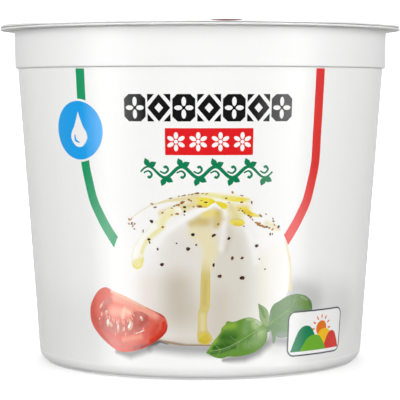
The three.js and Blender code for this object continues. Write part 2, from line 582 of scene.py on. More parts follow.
def ink_material(name, colour, strokes=(), mottle=0.04, index=COAT_INDEX):
    """Ink of one colour under the clear coat, with soft strokes of other colours over it.

    A stroke is its points (u, v, reach), its strength and its colour, and at times its core.
    """
    material, tree, shader = new_material(name, IOR=index)
    place = use_group(tree, LABEL_PLACE)["Place"]
    for points, strength, paint, *core in strokes:
        mask = None
        for start, end in zip(points, points[1:] or points):
            dab = use_group(tree, AIRBRUSH, {
                "Place": place, "Start": (*start[:2], 0), "End": (*end[:2], 0),
                "Start Reach": start[2], "End Reach": end[2], "Core": core[0] if core else 0.0,
            })["Mask"]
            mask = calc(tree, "MAXIMUM", mask, dab) if mask else dab
        share = calc(tree, "MULTIPLY", mask, strength)
        colour = mixed_colour(tree, share, colour, paint)
    coat = use_group(tree, CLEAR_COAT, {"Ink": colour, "Mottle": mottle})
    rough_relief(tree, shader, coat, COAT_RELIEF)
    tree.links.new(coat["Color"], shader.inputs["Base Color"])
    return material


LABEL_PLACE = label_place_group()
AIRBRUSH = airbrush_group()
CLEAR_COAT = clear_coat_group()
label_left = LABEL_SEAM - LABEL_TURN + SEAM_GAP
label_edges = [(label_left, LABEL_BOTTOM), (LABEL_SEAM, LABEL_BOTTOM), (LABEL_SEAM, LABEL_TOP),
               (label_left, LABEL_TOP)]
# The label's white carries the printed shadows and the painted shade of the wall's lower sides.
shadows = [(points, strength, SHADOW_GREY, *core) for points, strength, *core in PRINT_SHADOWS_AND_WALL_SHADE]
label_white = ink_material("white label film", LABEL_WHITE, shadows, BARE_MOTTLE, BARE_INDEX)
printed("label_film_wrap", [label_edges], 0, label_white, "label_film", sides=(0,))

# --- Stripes -----------------------------------------------------------------------
# Two bands of ink that come down from the step and swing in under the picture: green on
# the left and red on the right.

STRIPE_WIDTH = 2.9
STRIPE_LINE = (
    (33.6, LABEL_TOP), (33.6, 76), (33.5, 67), (33.4, 60), (32.5, 54.9), (31.1, 49.4), (29.1, 45.3),
    (27, 41.8), (24.3, 38), (21, 34),
)
STRIPE_GREEN = tint(16, 152, 98)
STRIPE_RED = tint(222, 52, 48)


def curve(controls, steps=6, closed=True):
    """A smooth line through control points. A point given twice makes a corner."""
    points = np.array(controls, float)
    count = len(points)
    line = []
    for i in range(count if closed else count - 1):
        spots = [i + k for k in (-1, 0, 1, 2)]
        spots = [k % count if closed else min(max(k, 0), count - 1) for k in spots]
        p0, p1, p2, p3 = points[spots]
        if math.dist(p1, p2) < 1e-6:
            continue
        for t in np.arange(steps) / steps:
            bend = (2 * p0 - 5 * p1 + 4 * p2 - p3) * t**2 + (3 * p1 - p0 - 3 * p2 + p3) * t**3
            line.append(p1 + 0.5 * ((p2 - p0) * t + bend))
    if not closed:
        line.append(points[-1])
    return np.array(line)


def ribbon(controls, widths, steps=6):
    """Outline of a stroke along a smooth line, by its widths from start to end."""
    middle = curve(controls, steps, closed=False)
    widths = np.atleast_1d(widths)
    width = np.interp(np.linspace(0, 1, len(middle)), np.linspace(0, 1, len(widths)), widths)
    along = np.gradient(middle, axis=0)
    along /= np.linalg.norm(along, axis=1, keepdims=True)
    side = np.stack([-along[:, 1], along[:, 0]], 1) * width[:, None] / 2
    return np.concatenate([middle - side, (middle + side)[::-1]])


for side, name, colour in ((-1, "green", STRIPE_GREEN), (1, "red", STRIPE_RED)):
    stripe = ribbon([(side * u, v) for u, v in STRIPE_LINE], STRIPE_WIDTH)
    printed("stripe_" + name, [stripe], 1, ink_material(name + " ink", colour), "print_" + name)

# --- Badge -------------------------------------------------------------------------
# A round mark of blue ink on the left stripe, with a white rim and a white drop of milk
# left free of ink.

BADGE_PLACE = (-35.1, 68.6)
BADGE_RADIUS = 8.1
BADGE_RIM = 0.6
BADGE_DROP = (-35.1, 68.2, 4.3)
BADGE_GLINT = ((-36.6, 67.4), (-36.4, 65.9), (-35, 65.2))
BADGE_GLINT_WIDTHS = (0.3, 0.7, 0.3)
BADGE_BLUE = tint(20, 160, 235)


def placed(u, v, across, up, turn=0.0):
    """Points given from a middle, turned by an angle in degrees and moved to (u, v)."""
    cos, sin = math.cos(math.radians(turn)), math.sin(math.radians(turn))
    return np.stack([u + across * cos - up * sin, v + across * sin + up * cos], 1)


def ellipse(u, v, half_u, half_v, turn=0, steps=28):
    """Outline of an ellipse, turned by an angle in degrees."""
    angles = np.linspace(0, 2 * math.pi, steps, endpoint=False)
    return placed(u, v, half_u * np.cos(angles), half_v * np.sin(angles), turn)


def milk_drop(u, v, size):
    """A drop with its point upwards."""
    sides = [(0.32, 0.45), (0.62, -0.05), (0.66, -0.45), (0.36, -0.86), (0, -0.98)]
    outline = [(0, 1.3), (0, 1.3)] + sides + [(-x, y) for x, y in reversed(sides[:-1])]
    return curve([(u + x * size, v + y * size) for x, y in outline])


bare_white = ink_material("white left free of ink", LABEL_WHITE, (), BARE_MOTTLE, BARE_INDEX)
rim, disc = (ellipse(*BADGE_PLACE, radius, radius, steps=48)
             for radius in (BADGE_RADIUS + BADGE_RIM, BADGE_RADIUS))
glint = ribbon(BADGE_GLINT, BADGE_GLINT_WIDTHS)
printed("badge_rim", [rim], 2, bare_white, "label_film")
printed("badge_disc", [disc], 3, ink_material("blue ink", BADGE_BLUE), "print_blue",
        holes=[milk_drop(*BADGE_DROP)])
printed("badge_glint", [glint], 3, ink_material("blue ink of the glint", BADGE_BLUE), "print_blue")

# --- Frieze ------------------------------------------------------------------------
# A heading of near-black ink, in the manner of painted earthenware borders: tiles with a
# four-petalled flower left free of ink, and lozenges between corner pieces, in turn.

FRIEZE_LEFT = -20.6
FRIEZE_RIGHT = 25.2
FRIEZE_MIDDLE = 74.9
FRIEZE_CELLS = 7
FRIEZE_HEIGHT = 7.4
FRIEZE_BLACK = tint(22, 21, 22)
# Tiles: gap at the sides, cut corners, and the petals' distance and halves, across and along.
TILE_GAP = 0.3
TILE_CORNER = 1.3
PETAL_OUT = (1.45, 1.7)
PETAL_HALF = (0.6, 0.65)
PETAL_LONGER = (0.45, 0.6)
# Lozenges: gap at the sides, the halves of the hole, and the triangles in the four corners.
LOZENGE_GAP = 0.25
LOZENGE_HOLE = (1.15, 1.35)
TRIANGLE_GAP = 0.2
TRIANGLE_SIDES = (1.9, 2.2)


def lozenge(u, v, half_u, half_v):
    return [(u + half_u, v), (u, v + half_v), (u - half_u, v), (u, v - half_v)]


frieze, gaps = [], []
half = (FRIEZE_RIGHT - FRIEZE_LEFT) / FRIEZE_CELLS / 2
high = FRIEZE_HEIGHT / 2
for cell in range(FRIEZE_CELLS):
    u, v = FRIEZE_LEFT + (2 * cell + 1) * half, FRIEZE_MIDDLE
    if cell % 2 == 0:
        side, cut = half - TILE_GAP, TILE_CORNER
        frieze.append([(u + x * (side - a), v + y * (high - b)) for x, y, a, b in (
            (1, -1, 0, cut), (1, 1, 0, cut), (1, 1, cut, 0), (-1, 1, cut, 0),
            (-1, 1, 0, cut), (-1, -1, 0, cut), (-1, -1, cut, 0), (1, -1, cut, 0))])
        for x, y in ((1, 0), (-1, 0), (0, 1), (0, -1)):
            halves = (PETAL_HALF[0] + PETAL_LONGER[0] * abs(x), PETAL_HALF[1] + PETAL_LONGER[1] * abs(y))
            gaps.append(ellipse(u + x * PETAL_OUT[0], v + y * PETAL_OUT[1], *halves, steps=16))
    else:
        frieze.append(lozenge(u, v, half - LOZENGE_GAP, high))
        gaps.append(lozenge(u, v, *LOZENGE_HOLE))
        out = half - TRIANGLE_GAP
        frieze += [[(u + x * out, v + y * high), (u + x * (out - TRIANGLE_SIDES[0]), v + y * high),
                    (u + x * out, v + y * (high - TRIANGLE_SIDES[1]))] for x in (1, -1) for y in (1, -1)]
black_ink = ink_material("near-black ink", FRIEZE_BLACK, mottle=0.2)
printed("frieze", frieze, 1, black_ink, "print_black", holes=gaps)

# --- Rosette band ------------------------------------------------------------------
# A field of red ink under the frieze. Its row of rosettes is left free of ink, so the
# white film shows through.

BAND_BOX = (-9.3, 62.1, 14.1, 69.4)
BAND_CORNER = 0.25
ROSETTES = 4
ROSETTE_EYE = 0.55
ROSETTE_PETAL = (0.95, 0.58)
ROSETTE_REACH = 1.65
BAND_RED = tint(222, 30, 34)


def rounded_box(left, bottom, right, top, corner, steps=5):
    """Outline of a box with rounded corners."""
    centres = ((right, top, 0), (left, top, 90), (left, bottom, 180), (right, bottom, 270))
    points = []
    for u, v, start in centres:
        u += corner if u == left else -corner
        v += corner if v == bottom else -corner
        points += arc((u, v), corner, start, start + 90, steps)
    return points


def beside(u, v, distance, turn):
    """The place at a distance from another, in a direction in degrees."""
    return u + distance * math.cos(math.radians(turn)), v + distance * math.sin(math.radians(turn))


petals = []
for i in range(ROSETTES):
    u = BAND_BOX[0] + (BAND_BOX[2] - BAND_BOX[0]) * (i + 0.5) / ROSETTES
    v = (BAND_BOX[1] + BAND_BOX[3]) / 2
    petals.append(ellipse(u, v, ROSETTE_EYE, ROSETTE_EYE, steps=12))
    petals += [ellipse(*beside(u, v, ROSETTE_REACH, turn), *ROSETTE_PETAL, turn, 14)
               for turn in range(30, 390, 60)]
band_ink = ink_material("red ink of the band", BAND_RED)
printed("rosette_band", [rounded_box(*BAND_BOX, BAND_CORNER)], 1, band_ink, "print_red", holes=petals)

# --- Vine --------------------------------------------------------------------------
# A running vine of dark green ink between the band and the picture: one waving stem with
# leaves on its crests and short curls in its troughs.

VINE_LEFT = -16.2
VINE_PITCH = 4.5  # half a wave
VINE_WAVES = 8
VINE_MIDDLE = 57.5
VINE_SWING = 1.5
VINE_STEM_WIDTHS = (0.45, 0.95, 0.95, 0.95, 0.45)
VINE_LEAF = (2.5, 1.6)
VINE_LEAF_TURNS = (28, 112)
# Curls: distance from the trough's place and direction in radians, and how far they hang off it.
VINE_CURL = ((1.5, 3.6), (1.2, 4.7), (0.95, 6.0), (0.7, 7.4), (0.3, 8.6))
VINE_CURL_DROP = 0.9
VINE_CURL_WIDTHS = (0.4, 0.6, 0.75)
LEAF_EDGE = ((0, 0), (0.28, 0.42), (0.6, 0.46), (1, 0), (1, 0), (0.6, -0.46), (0.28, -0.42), (0, 0))
VINE_GREEN = tint(15, 125, 80)


def leaf(u, v, length, width, turn):
    """A pointed leaf from its stalk end outwards."""
    along, aside = np.array(LEAF_EDGE).T
    return curve(placed(u, v, along * length, aside * width, turn), 4)


stem = [(VINE_LEFT + VINE_PITCH * i / 4, VINE_MIDDLE + VINE_SWING * math.sin(math.pi * i / 4))
        for i in range(4 * VINE_WAVES + 1)]
vine = [ribbon(stem, VINE_STEM_WIDTHS, 3)]
for i in range(VINE_WAVES):
    way = (-1) ** i
    crest = VINE_LEFT + VINE_PITCH * (i + 0.5)
    vine += [leaf(crest, VINE_MIDDLE + way * VINE_SWING, *VINE_LEAF, way * turn) for turn in VINE_LEAF_TURNS]
    curl = [(crest + reach * math.cos(turn), VINE_MIDDLE - way * (VINE_CURL_DROP + reach * math.sin(turn)))
            for reach, turn in VINE_CURL]
    vine.append(ribbon(curl, VINE_CURL_WIDTHS, 3))
printed("vine", vine, 1, ink_material("dark green ink", VINE_GREEN), "print_green", step=2)

# --- Cheese picture ----------------------------------------------------------------
# The printed serving picture: a ball of white cheese with a folded knot at its crown,
# shaded in warm greys. All of it is flat ink under the clear coat.

CHEESE_OUTLINE = (
    (3.8, 52.1), (-3.5, 51.6), (-10.3, 49.7), (-16.2, 46.8), (-21.8, 42), (-24.9, 36.5), (-26.2, 29.2),
    (-24.6, 21), (-20, 14.5), (-12.6, 11.4), (-8.6, 10.2), (-4, 9.85), (6.3, 10), (14, 12.2), (20.5, 16.5),
    (25.2, 22.5), (27.1, 29.2), (25.1, 37.9), (20, 44.9), (13.8, 50.2), (8.7, 51.8),
)
CHEESE_WHITE = tint(243, 242, 240)
CHEESE_LIGHT = tint(244, 243, 240)
CHEESE_MID = tint(222, 217, 209)
CHEESE_SHADE = tint(214, 209, 197)
CHEESE_DEEP = tint(190, 179, 161)
CHEESE_ROSY = tint(232, 216, 205)
CHEESE_CREAM = tint(236, 232, 219)
CRUST_TAN = tint(146, 118, 90)
OIL_PALE = tint(227, 217, 177)
OIL_LEMON = tint(232, 224, 150)
OIL_SUNLIT = tint(228, 210, 128)
OIL_DULL = tint(210, 196, 150)
OIL_STRAW = tint(222, 208, 146)
OIL_AMBER = tint(201, 177, 98)
CHEESE_SHADING = (
    ([(-14.5, 26, 6.5), (-14, 18, 6.5)], 0.55, CHEESE_ROSY),
    ([(17, 33, 5.5), (18.2, 23, 6.5)], 0.75, CHEESE_CREAM),
    ([(22, 36, 5), (24, 27, 4)], 0.3, CHEESE_CREAM),
    ([(-4, 37, 11), (-5, 27, 15), (-4, 14, 15)], 0.95, CHEESE_MID, 0.1),
    ([(8, 38, 9), (8, 27, 12.5), (7, 14, 14)], 0.95, CHEESE_SHADE, 0.2),
    ([(-6.4, 26, 8), (-5.6, 20, 10)], 0.78, CHEESE_DEEP),
    ([(5.6, 23, 5.5), (5.4, 15, 7)], 0.35, CHEESE_DEEP),
    ([(-13, 10.6, 2.5), (-4, 9.8, 3), (7, 10, 2.5)], 0.5, CHEESE_DEEP, 0.1),
    ([(-12, 11.1, 0.7), (-4, 9.9, 0.75), (3, 9.9, 0.6)], 0.85, CRUST_TAN, 0.1),
    ([(9, 42, 3.5), (10.2, 36, 4.5)], 0.35, CHEESE_SHADE),
    ([(-2, 43.4, 2.4), (-6.6, 39.6, 3.2), (-9, 34.6, 3)], 0.3, CHEESE_MID),
    ([(7.9, 45, 1.6), (7.8, 40.5, 2.4), (7.2, 36.5, 1.8)], 0.3, CHEESE_DEEP),
    ([(13, 41.6, 1.4), (15, 37.6, 2.4), (15.8, 33, 1.8)], 0.7, CHEESE_LIGHT),
    ([(4.4, 47.2, 2.4)], 0.5, CHEESE_DEEP),
    ([(-1.2, 41.2, 3.6), (1.4, 40, 4.4), (2.8, 36.8, 3.8), (2.2, 33, 3),
      (1.6, 30, 2)], 0.95, OIL_PALE, 0.15),
    ([(0.6, 44.2, 3.4), (3.4, 44.6, 4.2)], 0.9, OIL_DULL, 0.15),
    ([(-2.4, 43.6, 2), (-0.4, 44.2, 2.2), (1.4, 44, 2)], 0.75, OIL_AMBER),
    ([(1, 46, 1.5), (2.6, 46.3, 2), (4.4, 46.3, 1.9)], 0.95, OIL_SUNLIT, 0.1),
    ([(5, 46.2, 2), (5.1, 44.4, 2.6), (4.5, 43, 1.6)], 0.7, OIL_AMBER),
    ([(8.2, 48.1, 2.4), (9.8, 45.4, 3.6)], 0.95, OIL_STRAW),
    ([(10.4, 47.8, 1.6), (12.4, 47.6, 2.4)], 0.95, OIL_SUNLIT),
    ([(-12.6, 48.8, 0.5), (-8.6, 49.8, 0.8), (-4.2, 50.3, 1.3), (-0.8, 50.9, 2.2)], 0.85, OIL_STRAW),
    ([(1, 51.6, 1.3), (5.5, 50.8, 1.5), (9.5, 50.1, 1.9), (12.8, 49.7, 1.4)], 0.9, OIL_LEMON, 0.1),
    ([(-10.4, 46.2, 1.8), (-5.8, 47.5, 2.4), (-1.2, 48.9, 1.8)], 0.95, OIL_STRAW),
    ([(25, 38.2, 0.9), (26.9, 31, 1.2), (26.8, 24.5, 1.3)], 0.5, OIL_PALE, 0.1),
    ([(14.6, 49.8, 0.3), (17.8, 47.7, 0.35), (21, 44.6, 0.35), (23.6, 41, 0.3)], 0.35, OIL_DULL),
    ([(18.6, 43.4, 1.4), (21, 42.2, 1.8), (22.8, 41.6, 0.9)], 0.6, OIL_STRAW),
    ([(3.3, 48.6, 0.9), (0, 46.9, 1), (-4, 44.9, 1.3), (-9.6, 41.4, 2),
      (-13.2, 36.8, 2)], 0.8, CHEESE_LIGHT),
    ([(3.8, 50.3, 0.6), (6.8, 49.6, 0.35), (10.2, 49.1, 0.3), (14.4, 48.8, 0.7)], 0.5, CHEESE_LIGHT),
    ([(3.4, 49, 0.9), (5.4, 47.8, 0.7)], 0.7, CHEESE_LIGHT),
    ([(6.5, 43.6, 1.4), (6.3, 40, 1.8), (5.8, 36.6, 1.6)], 0.55, CHEESE_LIGHT),
)


def pictured(name, shapes, layer, ink, colour, strokes=(), mottle=0.04, step=1.2):
    """A part of the food picture, in an ink of its own."""
    return printed(name, shapes, layer, ink_material(ink, colour, strokes, mottle), "food_picture", step=step)


pictured("cheese_ball", [curve(CHEESE_OUTLINE)], 2, "cheese inks", CHEESE_WHITE, CHEESE_SHADING, 0.012)

# --- Oil ---------------------------------------------------------------------------
# Printed olive oil: bright pools round the knot, a long run on the left, one down the
# middle that ends in a drop, and a thin line along the right edge.

OIL_BRIGHT = tint(234, 218, 78)
OIL_DEEP = tint(224, 204, 44)
OIL_HONEY = tint(216, 184, 74)
OIL_MUSTARD = tint(202, 172, 26)
OIL_RUN = tint(208, 192, 120)
OIL_MILKY = tint(240, 236, 210)
OIL_GLEAM = tint(247, 246, 238)
OIL_EDGE = tint(216, 198, 104)
OIL_DROP = tint(206, 182, 60)
OIL_POOLS = (
    ((-2, 50.2), (0.5, 50.7), (2.8, 50.4), (4.2, 49.5), (3.1, 48.8), (2, 48), (0.8, 47.8), (-0.9, 48.4)),
    ((4.1, 49.5), (5.8, 49.4), (7.3, 48.7), (7.2, 47.8), (6.4, 47.4), (5.2, 48.2)),
    ((5.6, 50.9), (8.3, 51), (10.6, 50.6), (13.6, 50.2), (12.2, 49.7), (9.8, 49.5), (7.4, 49.9)),
    ((11.2, 47.7), (12.4, 47.9), (14.2, 46.6), (16.4, 45.6), (16.2, 45.1), (14.3, 45.4), (12.3, 46),
     (11.3, 46.8)),
    ((8, 44.2), (9, 44.9), (10.6, 44.9), (12, 44.2), (12.2, 43.4), (11.3, 42.8), (9.8, 42.8), (8.6, 43.4)),
)
POOL_SHADING = (
    ([(3.2, 49.4, 1.5), (6.4, 48.3, 1.8)], 0.75, OIL_DEEP),
    ([(-1.9, 49.5, 2.8)], 0.75, OIL_PALE),
    ([(1.4, 48, 1), (-0.4, 48.4, 0.8)], 0.5, OIL_AMBER),
    ([(6.4, 50.8, 1.4), (9.6, 50.9, 1)], 0.7, OIL_LEMON),
    ([(13.4, 50, 1.6)], 0.6, OIL_PALE),
    ([(12.2, 46.6, 1.2), (13.8, 46.1, 1)], 0.7, OIL_HONEY),
    ([(16, 45.4, 1.6)], 0.6, OIL_PALE),
    ([(8.6, 44.9, 1.2), (11.6, 45, 1.2)], 0.75, OIL_DULL),
    ([(9.4, 43.2, 0.9), (11.4, 43, 0.9)], 0.6, OIL_HONEY),
)
LEFT_RUN = (
    (-5.6, 48), (-8.4, 47.6), (-10.6, 46), (-12, 44.4), (-14, 42.3), (-16.5, 39.9), (-18.6, 36.9),
    (-19.5, 33.7), (-19.4, 31.7), (-18, 30.7), (-16.4, 31.6), (-15.9, 33.6), (-15.8, 35.4), (-15.3, 36.9),
    (-14.4, 38.1), (-12.6, 39.6), (-10.6, 41.2), (-9.4, 42.3), (-9.3, 43.5), (-7.8, 45.2), (-5.1, 46.2),
)
LEFT_RUN_SHADING = (
    ([(-18.6, 34.8, 1.8), (-17.8, 37.4, 1.9), (-15.6, 40.6, 1.9),
      (-12.8, 42.6, 1.3)], 0.97, OIL_GLEAM, 0.5),
    ([(-7.4, 46.8, 1.8), (-9.6, 45.4, 1.8), (-10.4, 43.4, 1.4)], 0.6, OIL_LEMON),
    ([(-16.4, 35.4, 0.9), (-15.2, 38.4, 0.9), (-12.8, 40.6, 1), (-10.2, 42.4, 0.9)], 0.75, OIL_LEMON),
    ([(-18.4, 32.2, 1.7), (-16.8, 33.2, 1.4)], 0.85, OIL_LEMON, 0.2),
    ([(-19.4, 31.8, 0.7), (-18, 30.8, 0.9), (-16.6, 31.6, 0.8), (-16.1, 33.8, 0.5)], 0.75, OIL_BRIGHT),
    ([(-19.6, 33.6, 0.35), (-18.7, 36.8, 0.35), (-16.6, 39.8, 0.35), (-14, 42.3, 0.35)], 0.3, OIL_DULL),
    ([(-6, 47.2, 1.8), (-4.8, 47, 1.8)], 0.6, CHEESE_LIGHT),
)
MIDDLE_RUN = (
    (0.9, 33.6), (0.4, 31.4), (0.1, 27.1), (0, 22.6), (-0.2, 20.2), (-0.6, 19), (-0.7, 15), (-0.9, 12.9),
    (-0.6, 11.1), (0.3, 10.4), (1.8, 10.2), (3.2, 10.9), (3.5, 12.1), (2.7, 13.4), (2, 14.8), (2, 18.4),
    (2.6, 20.3), (2.8, 22.8), (2.8, 27.1), (2.7, 31.4), (2.4, 33.6),
)
MIDDLE_RUN_SHADING = (
    ([(1.4, 27.5, 1.2), (1.2, 21.5, 1.2)], 0.7, OIL_AMBER),
    ([(2.5, 28, 0.5), (2.5, 22.4, 0.6), (2.1, 20, 0.6)], 0.4, OIL_EDGE),
    ([(0.7, 18.2, 1.5), (0.7, 14.6, 1.5)], 0.55, OIL_PALE),
    ([(1.6, 36.4, 7.8)], 1, OIL_PALE, 0.35),
    ([(1.2, 12, 2.3)], 0.9, OIL_DROP, 0.3),
    ([(0.4, 12.8, 0.8), (1.4, 13, 0.7)], 0.35, OIL_BRIGHT),
    ([(-0.2, 11.3, 0.7), (1.4, 10.7, 0.9), (2.6, 11.5, 0.7)], 0.7, OIL_MUSTARD),
)
LEFT_LINE = ((-20.8, 43.2), (-18.4, 45.4), (-15.4, 47.4), (-12.2, 49))
LEFT_LINE_WIDTHS = (0.1, 0.2, 0.2, 0.3)
RIGHT_LINE = ((24.4, 38.4), (26.2, 33.5), (26.8, 28.4), (26.9, 24.2))
RIGHT_LINE_WIDTHS = (0.1, 0.5, 0.5, 1.1)
OIL_PARTS = (
    ("oil_pools", OIL_POOLS, "oil pool ink", OIL_BRIGHT, POOL_SHADING),
    ("oil_run_left", [LEFT_RUN], "left oil run ink", OIL_MILKY, LEFT_RUN_SHADING),
    ("oil_run_middle", [MIDDLE_RUN], "middle oil run ink", OIL_RUN, MIDDLE_RUN_SHADING),
)

for name, outlines, ink, colour, strokes in OIL_PARTS:
    pictured(name, [curve(outline, 4) for outline in outlines], 3, ink, colour, strokes, 0.02, step=0.9)
lines = [ribbon(LEFT_LINE, LEFT_LINE_WIDTHS), ribbon(RIGHT_LINE, RIGHT_LINE_WIDTHS)]
pictured("oil_lines", lines, 3, "oil line ink", OIL_PALE)

# --- Pepper ------------------------------------------------------------------------
# Printed cracked pepper: single grains over the middle of the ball, flatter flakes along
# the crown, and crumbs in short trails down the shoulders.

# Each grain: u, v, half its length, its width as a share of the length, and its turn in degrees.
PEPPER_GRAINS = (
    (-2, 40.5, 0.58, 0.75, 0), (3.7, 40.3, 0.75, 0.5, 30), (7.9, 39.4, 0.5, 0.85, 60),
    (-3.4, 36.6, 0.6, 0.9, 20), (-1.1, 37.7, 0.36, 0.8, 70), (15.8, 37.3, 0.54, 0.85, 0),
    (8.9, 34, 0.52, 0.75, 80), (11.7, 34, 0.52, 0.8, 40), (3.7, 32.2, 0.6, 0.6, 90),
    (-10.7, 32.2, 0.62, 0.7, 15), (5.4, 29.1, 0.68, 0.75, -10), (11.8, 28.5, 0.74, 0.75, 10),
    (-11.8, 36.4, 0.4, 0.7, 100), (-14.3, 39.1, 0.46, 0.8, 0), (-13.4, 44, 0.6, 0.75, -50),
    (-15.9, 41.3, 0.48, 0.4, 80), (1.5, 49.3, 0.55, 0.4, 0), (-4.2, 48, 0.45, 0.7, 0),
    (-4.2, 46.8, 0.42, 0.7, 60), (14.1, 49.2, 0.5, 0.45, 95), (19.7, 40.4, 0.46, 0.6, 90),
    (20.4, 40.4, 0.36, 0.5, 80), (22.2, 42.3, 0.5, 0.8, 70), (16.7, 33.6, 0.3, 0.7, 0),
    (18.5, 30.7, 0.3, 0.7, 40), (-6.5, 38.1, 0.3, 0.7, 0), (12, 42.7, 0.3, 0.6, -10),
    (-7, 48.3, 0.4, 0.4, 10),
)
PEPPER_FLAKES = (
    (-3, 50, 0.45, 0.6, -30), (-2.4, 49.7, 0.34, 0.6, 60), (-0.8, 51.8, 0.66, 0.4, 5),
    (-0.2, 48.2, 0.82, 0.42, -5), (-4.8, 49.3, 0.72, 0.48, 22), (-6, 48.6, 0.72, 0.38, 4),
    (-1.8, 48.1, 0.34, 0.6, 0), (0.3, 49.8, 0.36, 0.35, 0), (7, 50.4, 0.34, 0.8, 0),
    (8.7, 52, 0.4, 0.7, -60), (11.3, 49.3, 0.55, 0.5, 10), (4.9, 43.3, 0.4, 0.7, 40),
    (-7.7, 47.7, 0.38, 0.5, 0), (-6.3, 46.2, 0.55, 0.6, 0), (-7.7, 45.9, 0.32, 0.6, 0),
    (-10.3, 46.4, 0.36, 0.7, 0), (-10.3, 42.5, 0.38, 0.8, 0), (-13.2, 48.8, 0.5, 0.5, -30),
    (-12.3, 47.9, 0.52, 0.42, 10), (-14.1, 38.2, 0.44, 0.5, 100), (-4.3, 45.9, 0.28, 0.7, 0),
    (13.3, 45.6, 0.5, 0.5, -20), (13.9, 45.2, 0.45, 0.5, 30), (14.4, 44.5, 0.4, 0.45, -50),
    (16.7, 45.5, 0.62, 0.48, -40), (18.3, 45.9, 0.36, 0.6, -30), (20.4, 44.6, 0.38, 0.5, -70),
    (20.6, 43.9, 0.36, 0.7, 0), (20.9, 42.9, 0.45, 0.4, -55), (16, 43.1, 0.5, 0.55, -30),
    (16.9, 42.8, 0.6, 0.55, -12), (17.7, 42.5, 0.45, 0.6, 10), (-19.3, 44.6, 0.45, 0.4, 50),
    (-20, 43.2, 0.3, 0.7, -45), (-19.2, 43.3, 0.46, 0.36, 60), (-18.3, 43.2, 0.34, 0.7, 30),
    (-18.9, 42.6, 0.38, 0.6, 50), (-8, 50.4, 0.55, 0.3, 15), (-4.7, 51.1, 0.46, 0.3, 20),
    (-2.3, 51.4, 0.38, 0.32, 18), (0.6, 51.7, 0.38, 0.32, -5), (1.7, 51.6, 0.46, 0.3, 15),
    (11.3, 51.1, 0.48, 0.4, -15), (7.8, 49.2, 0.42, 0.3, -30),
)
# Trails of crumbs: start, end, scatter, how many.
PEPPER_TRAILS = (
    ((15.3, 43.7), (17.8, 42.4), 0.13, 16),
    ((17.6, 42.5), (20.6, 41.9), 0.14, 9),
    ((-6.0, 50.9), (-0.5, 51.8), 0.08, 5),
    ((-20.2, 44.2), (-18.2, 42.2), 0.5, 5),
    ((10.4, 47.4), (12.4, 46.4), 0.3, 4),
)
PEPPER_BROWN = tint(104, 62, 38)
PEPPER_BLACK = tint(40, 30, 32)
FLAKE_BROWN = tint(122, 80, 44)
FLAKE_TAN = tint(188, 134, 62)
# Grains: corners, and how far these stray in turn and in reach.
GRAIN_CORNERS = 7
GRAIN_STRAY = 0.3
GRAIN_REACH = (0.85, 1.2)
# Crumbs: the least and the greatest half length and width share, and the scatter of their turn.
CRUMB_SIZE = (0.2, 0.42)
CRUMB_SQUASH = (0.45, 0.8)
CRUMB_TURN = 25
PEPPER_CHANGE = (0.4, 0.62)
PEPPER_MOTTLE = 0.2
chance = np.random.default_rng(11)


def pepper_grain(u, v, size, squash, turn):
    """An angular grain, longer than wide."""
    angles = np.arange(GRAIN_CORNERS) * 2 * math.pi / GRAIN_CORNERS
    angles += chance.uniform(-GRAIN_STRAY, GRAIN_STRAY, GRAIN_CORNERS)
    reach = size * chance.uniform(*GRAIN_REACH, GRAIN_CORNERS)
    return placed(u, v, reach * np.cos(angles), reach * np.sin(angles) * squash, turn)


def pepper_material(name, dark, light):
    """Grains of two inks, changing from one grain to the next."""
    material, tree, shader = new_material(name, IOR=COAT_INDEX)
    kind = noise(tree, own_place(tree), FINE_MOTTLE, 2.0)
    colour = mixed_colour(tree, ramp(tree, kind, *PEPPER_CHANGE), dark, light)
    coat = use_group(tree, CLEAR_COAT, {"Ink": colour, "Mottle": PEPPER_MOTTLE})
    connect(tree, shader, {"Base Color": coat["Color"], "Roughness": coat["Roughness"]})
    return material


grains, flakes = ([pepper_grain(*grain) for grain in spots] for spots in (PEPPER_GRAINS, PEPPER_FLAKES))
for start, end, scatter, count in PEPPER_TRAILS:
    lean = math.degrees(math.atan2(end[1] - start[1], end[0] - start[0]))
    for share in (np.arange(count) + chance.uniform(0.1, 0.9, count)) / count:
        u, v = np.array(start) + (np.array(end) - start) * share + chance.normal(0, scatter, 2)
        size, squash = chance.uniform(*CRUMB_SIZE), chance.uniform(*CRUMB_SQUASH)
        flakes.append(pepper_grain(u, v, size, squash, lean + chance.normal(0, CRUMB_TURN)))
printed("pepper_grains", grains, 5, pepper_material("pepper ink", PEPPER_BLACK, PEPPER_BROWN), "food_picture")
printed("pepper_flakes", flakes, 5, pepper_material("flake ink", FLAKE_BROWN, FLAKE_TAN), "food_picture")

# --- Tomato ------------------------------------------------------------------------
# The printed wedge of tomato in front of the ball: red skin round paler cut flesh, two
# hollows of darker jelly, and the seeds and wet glints in them.

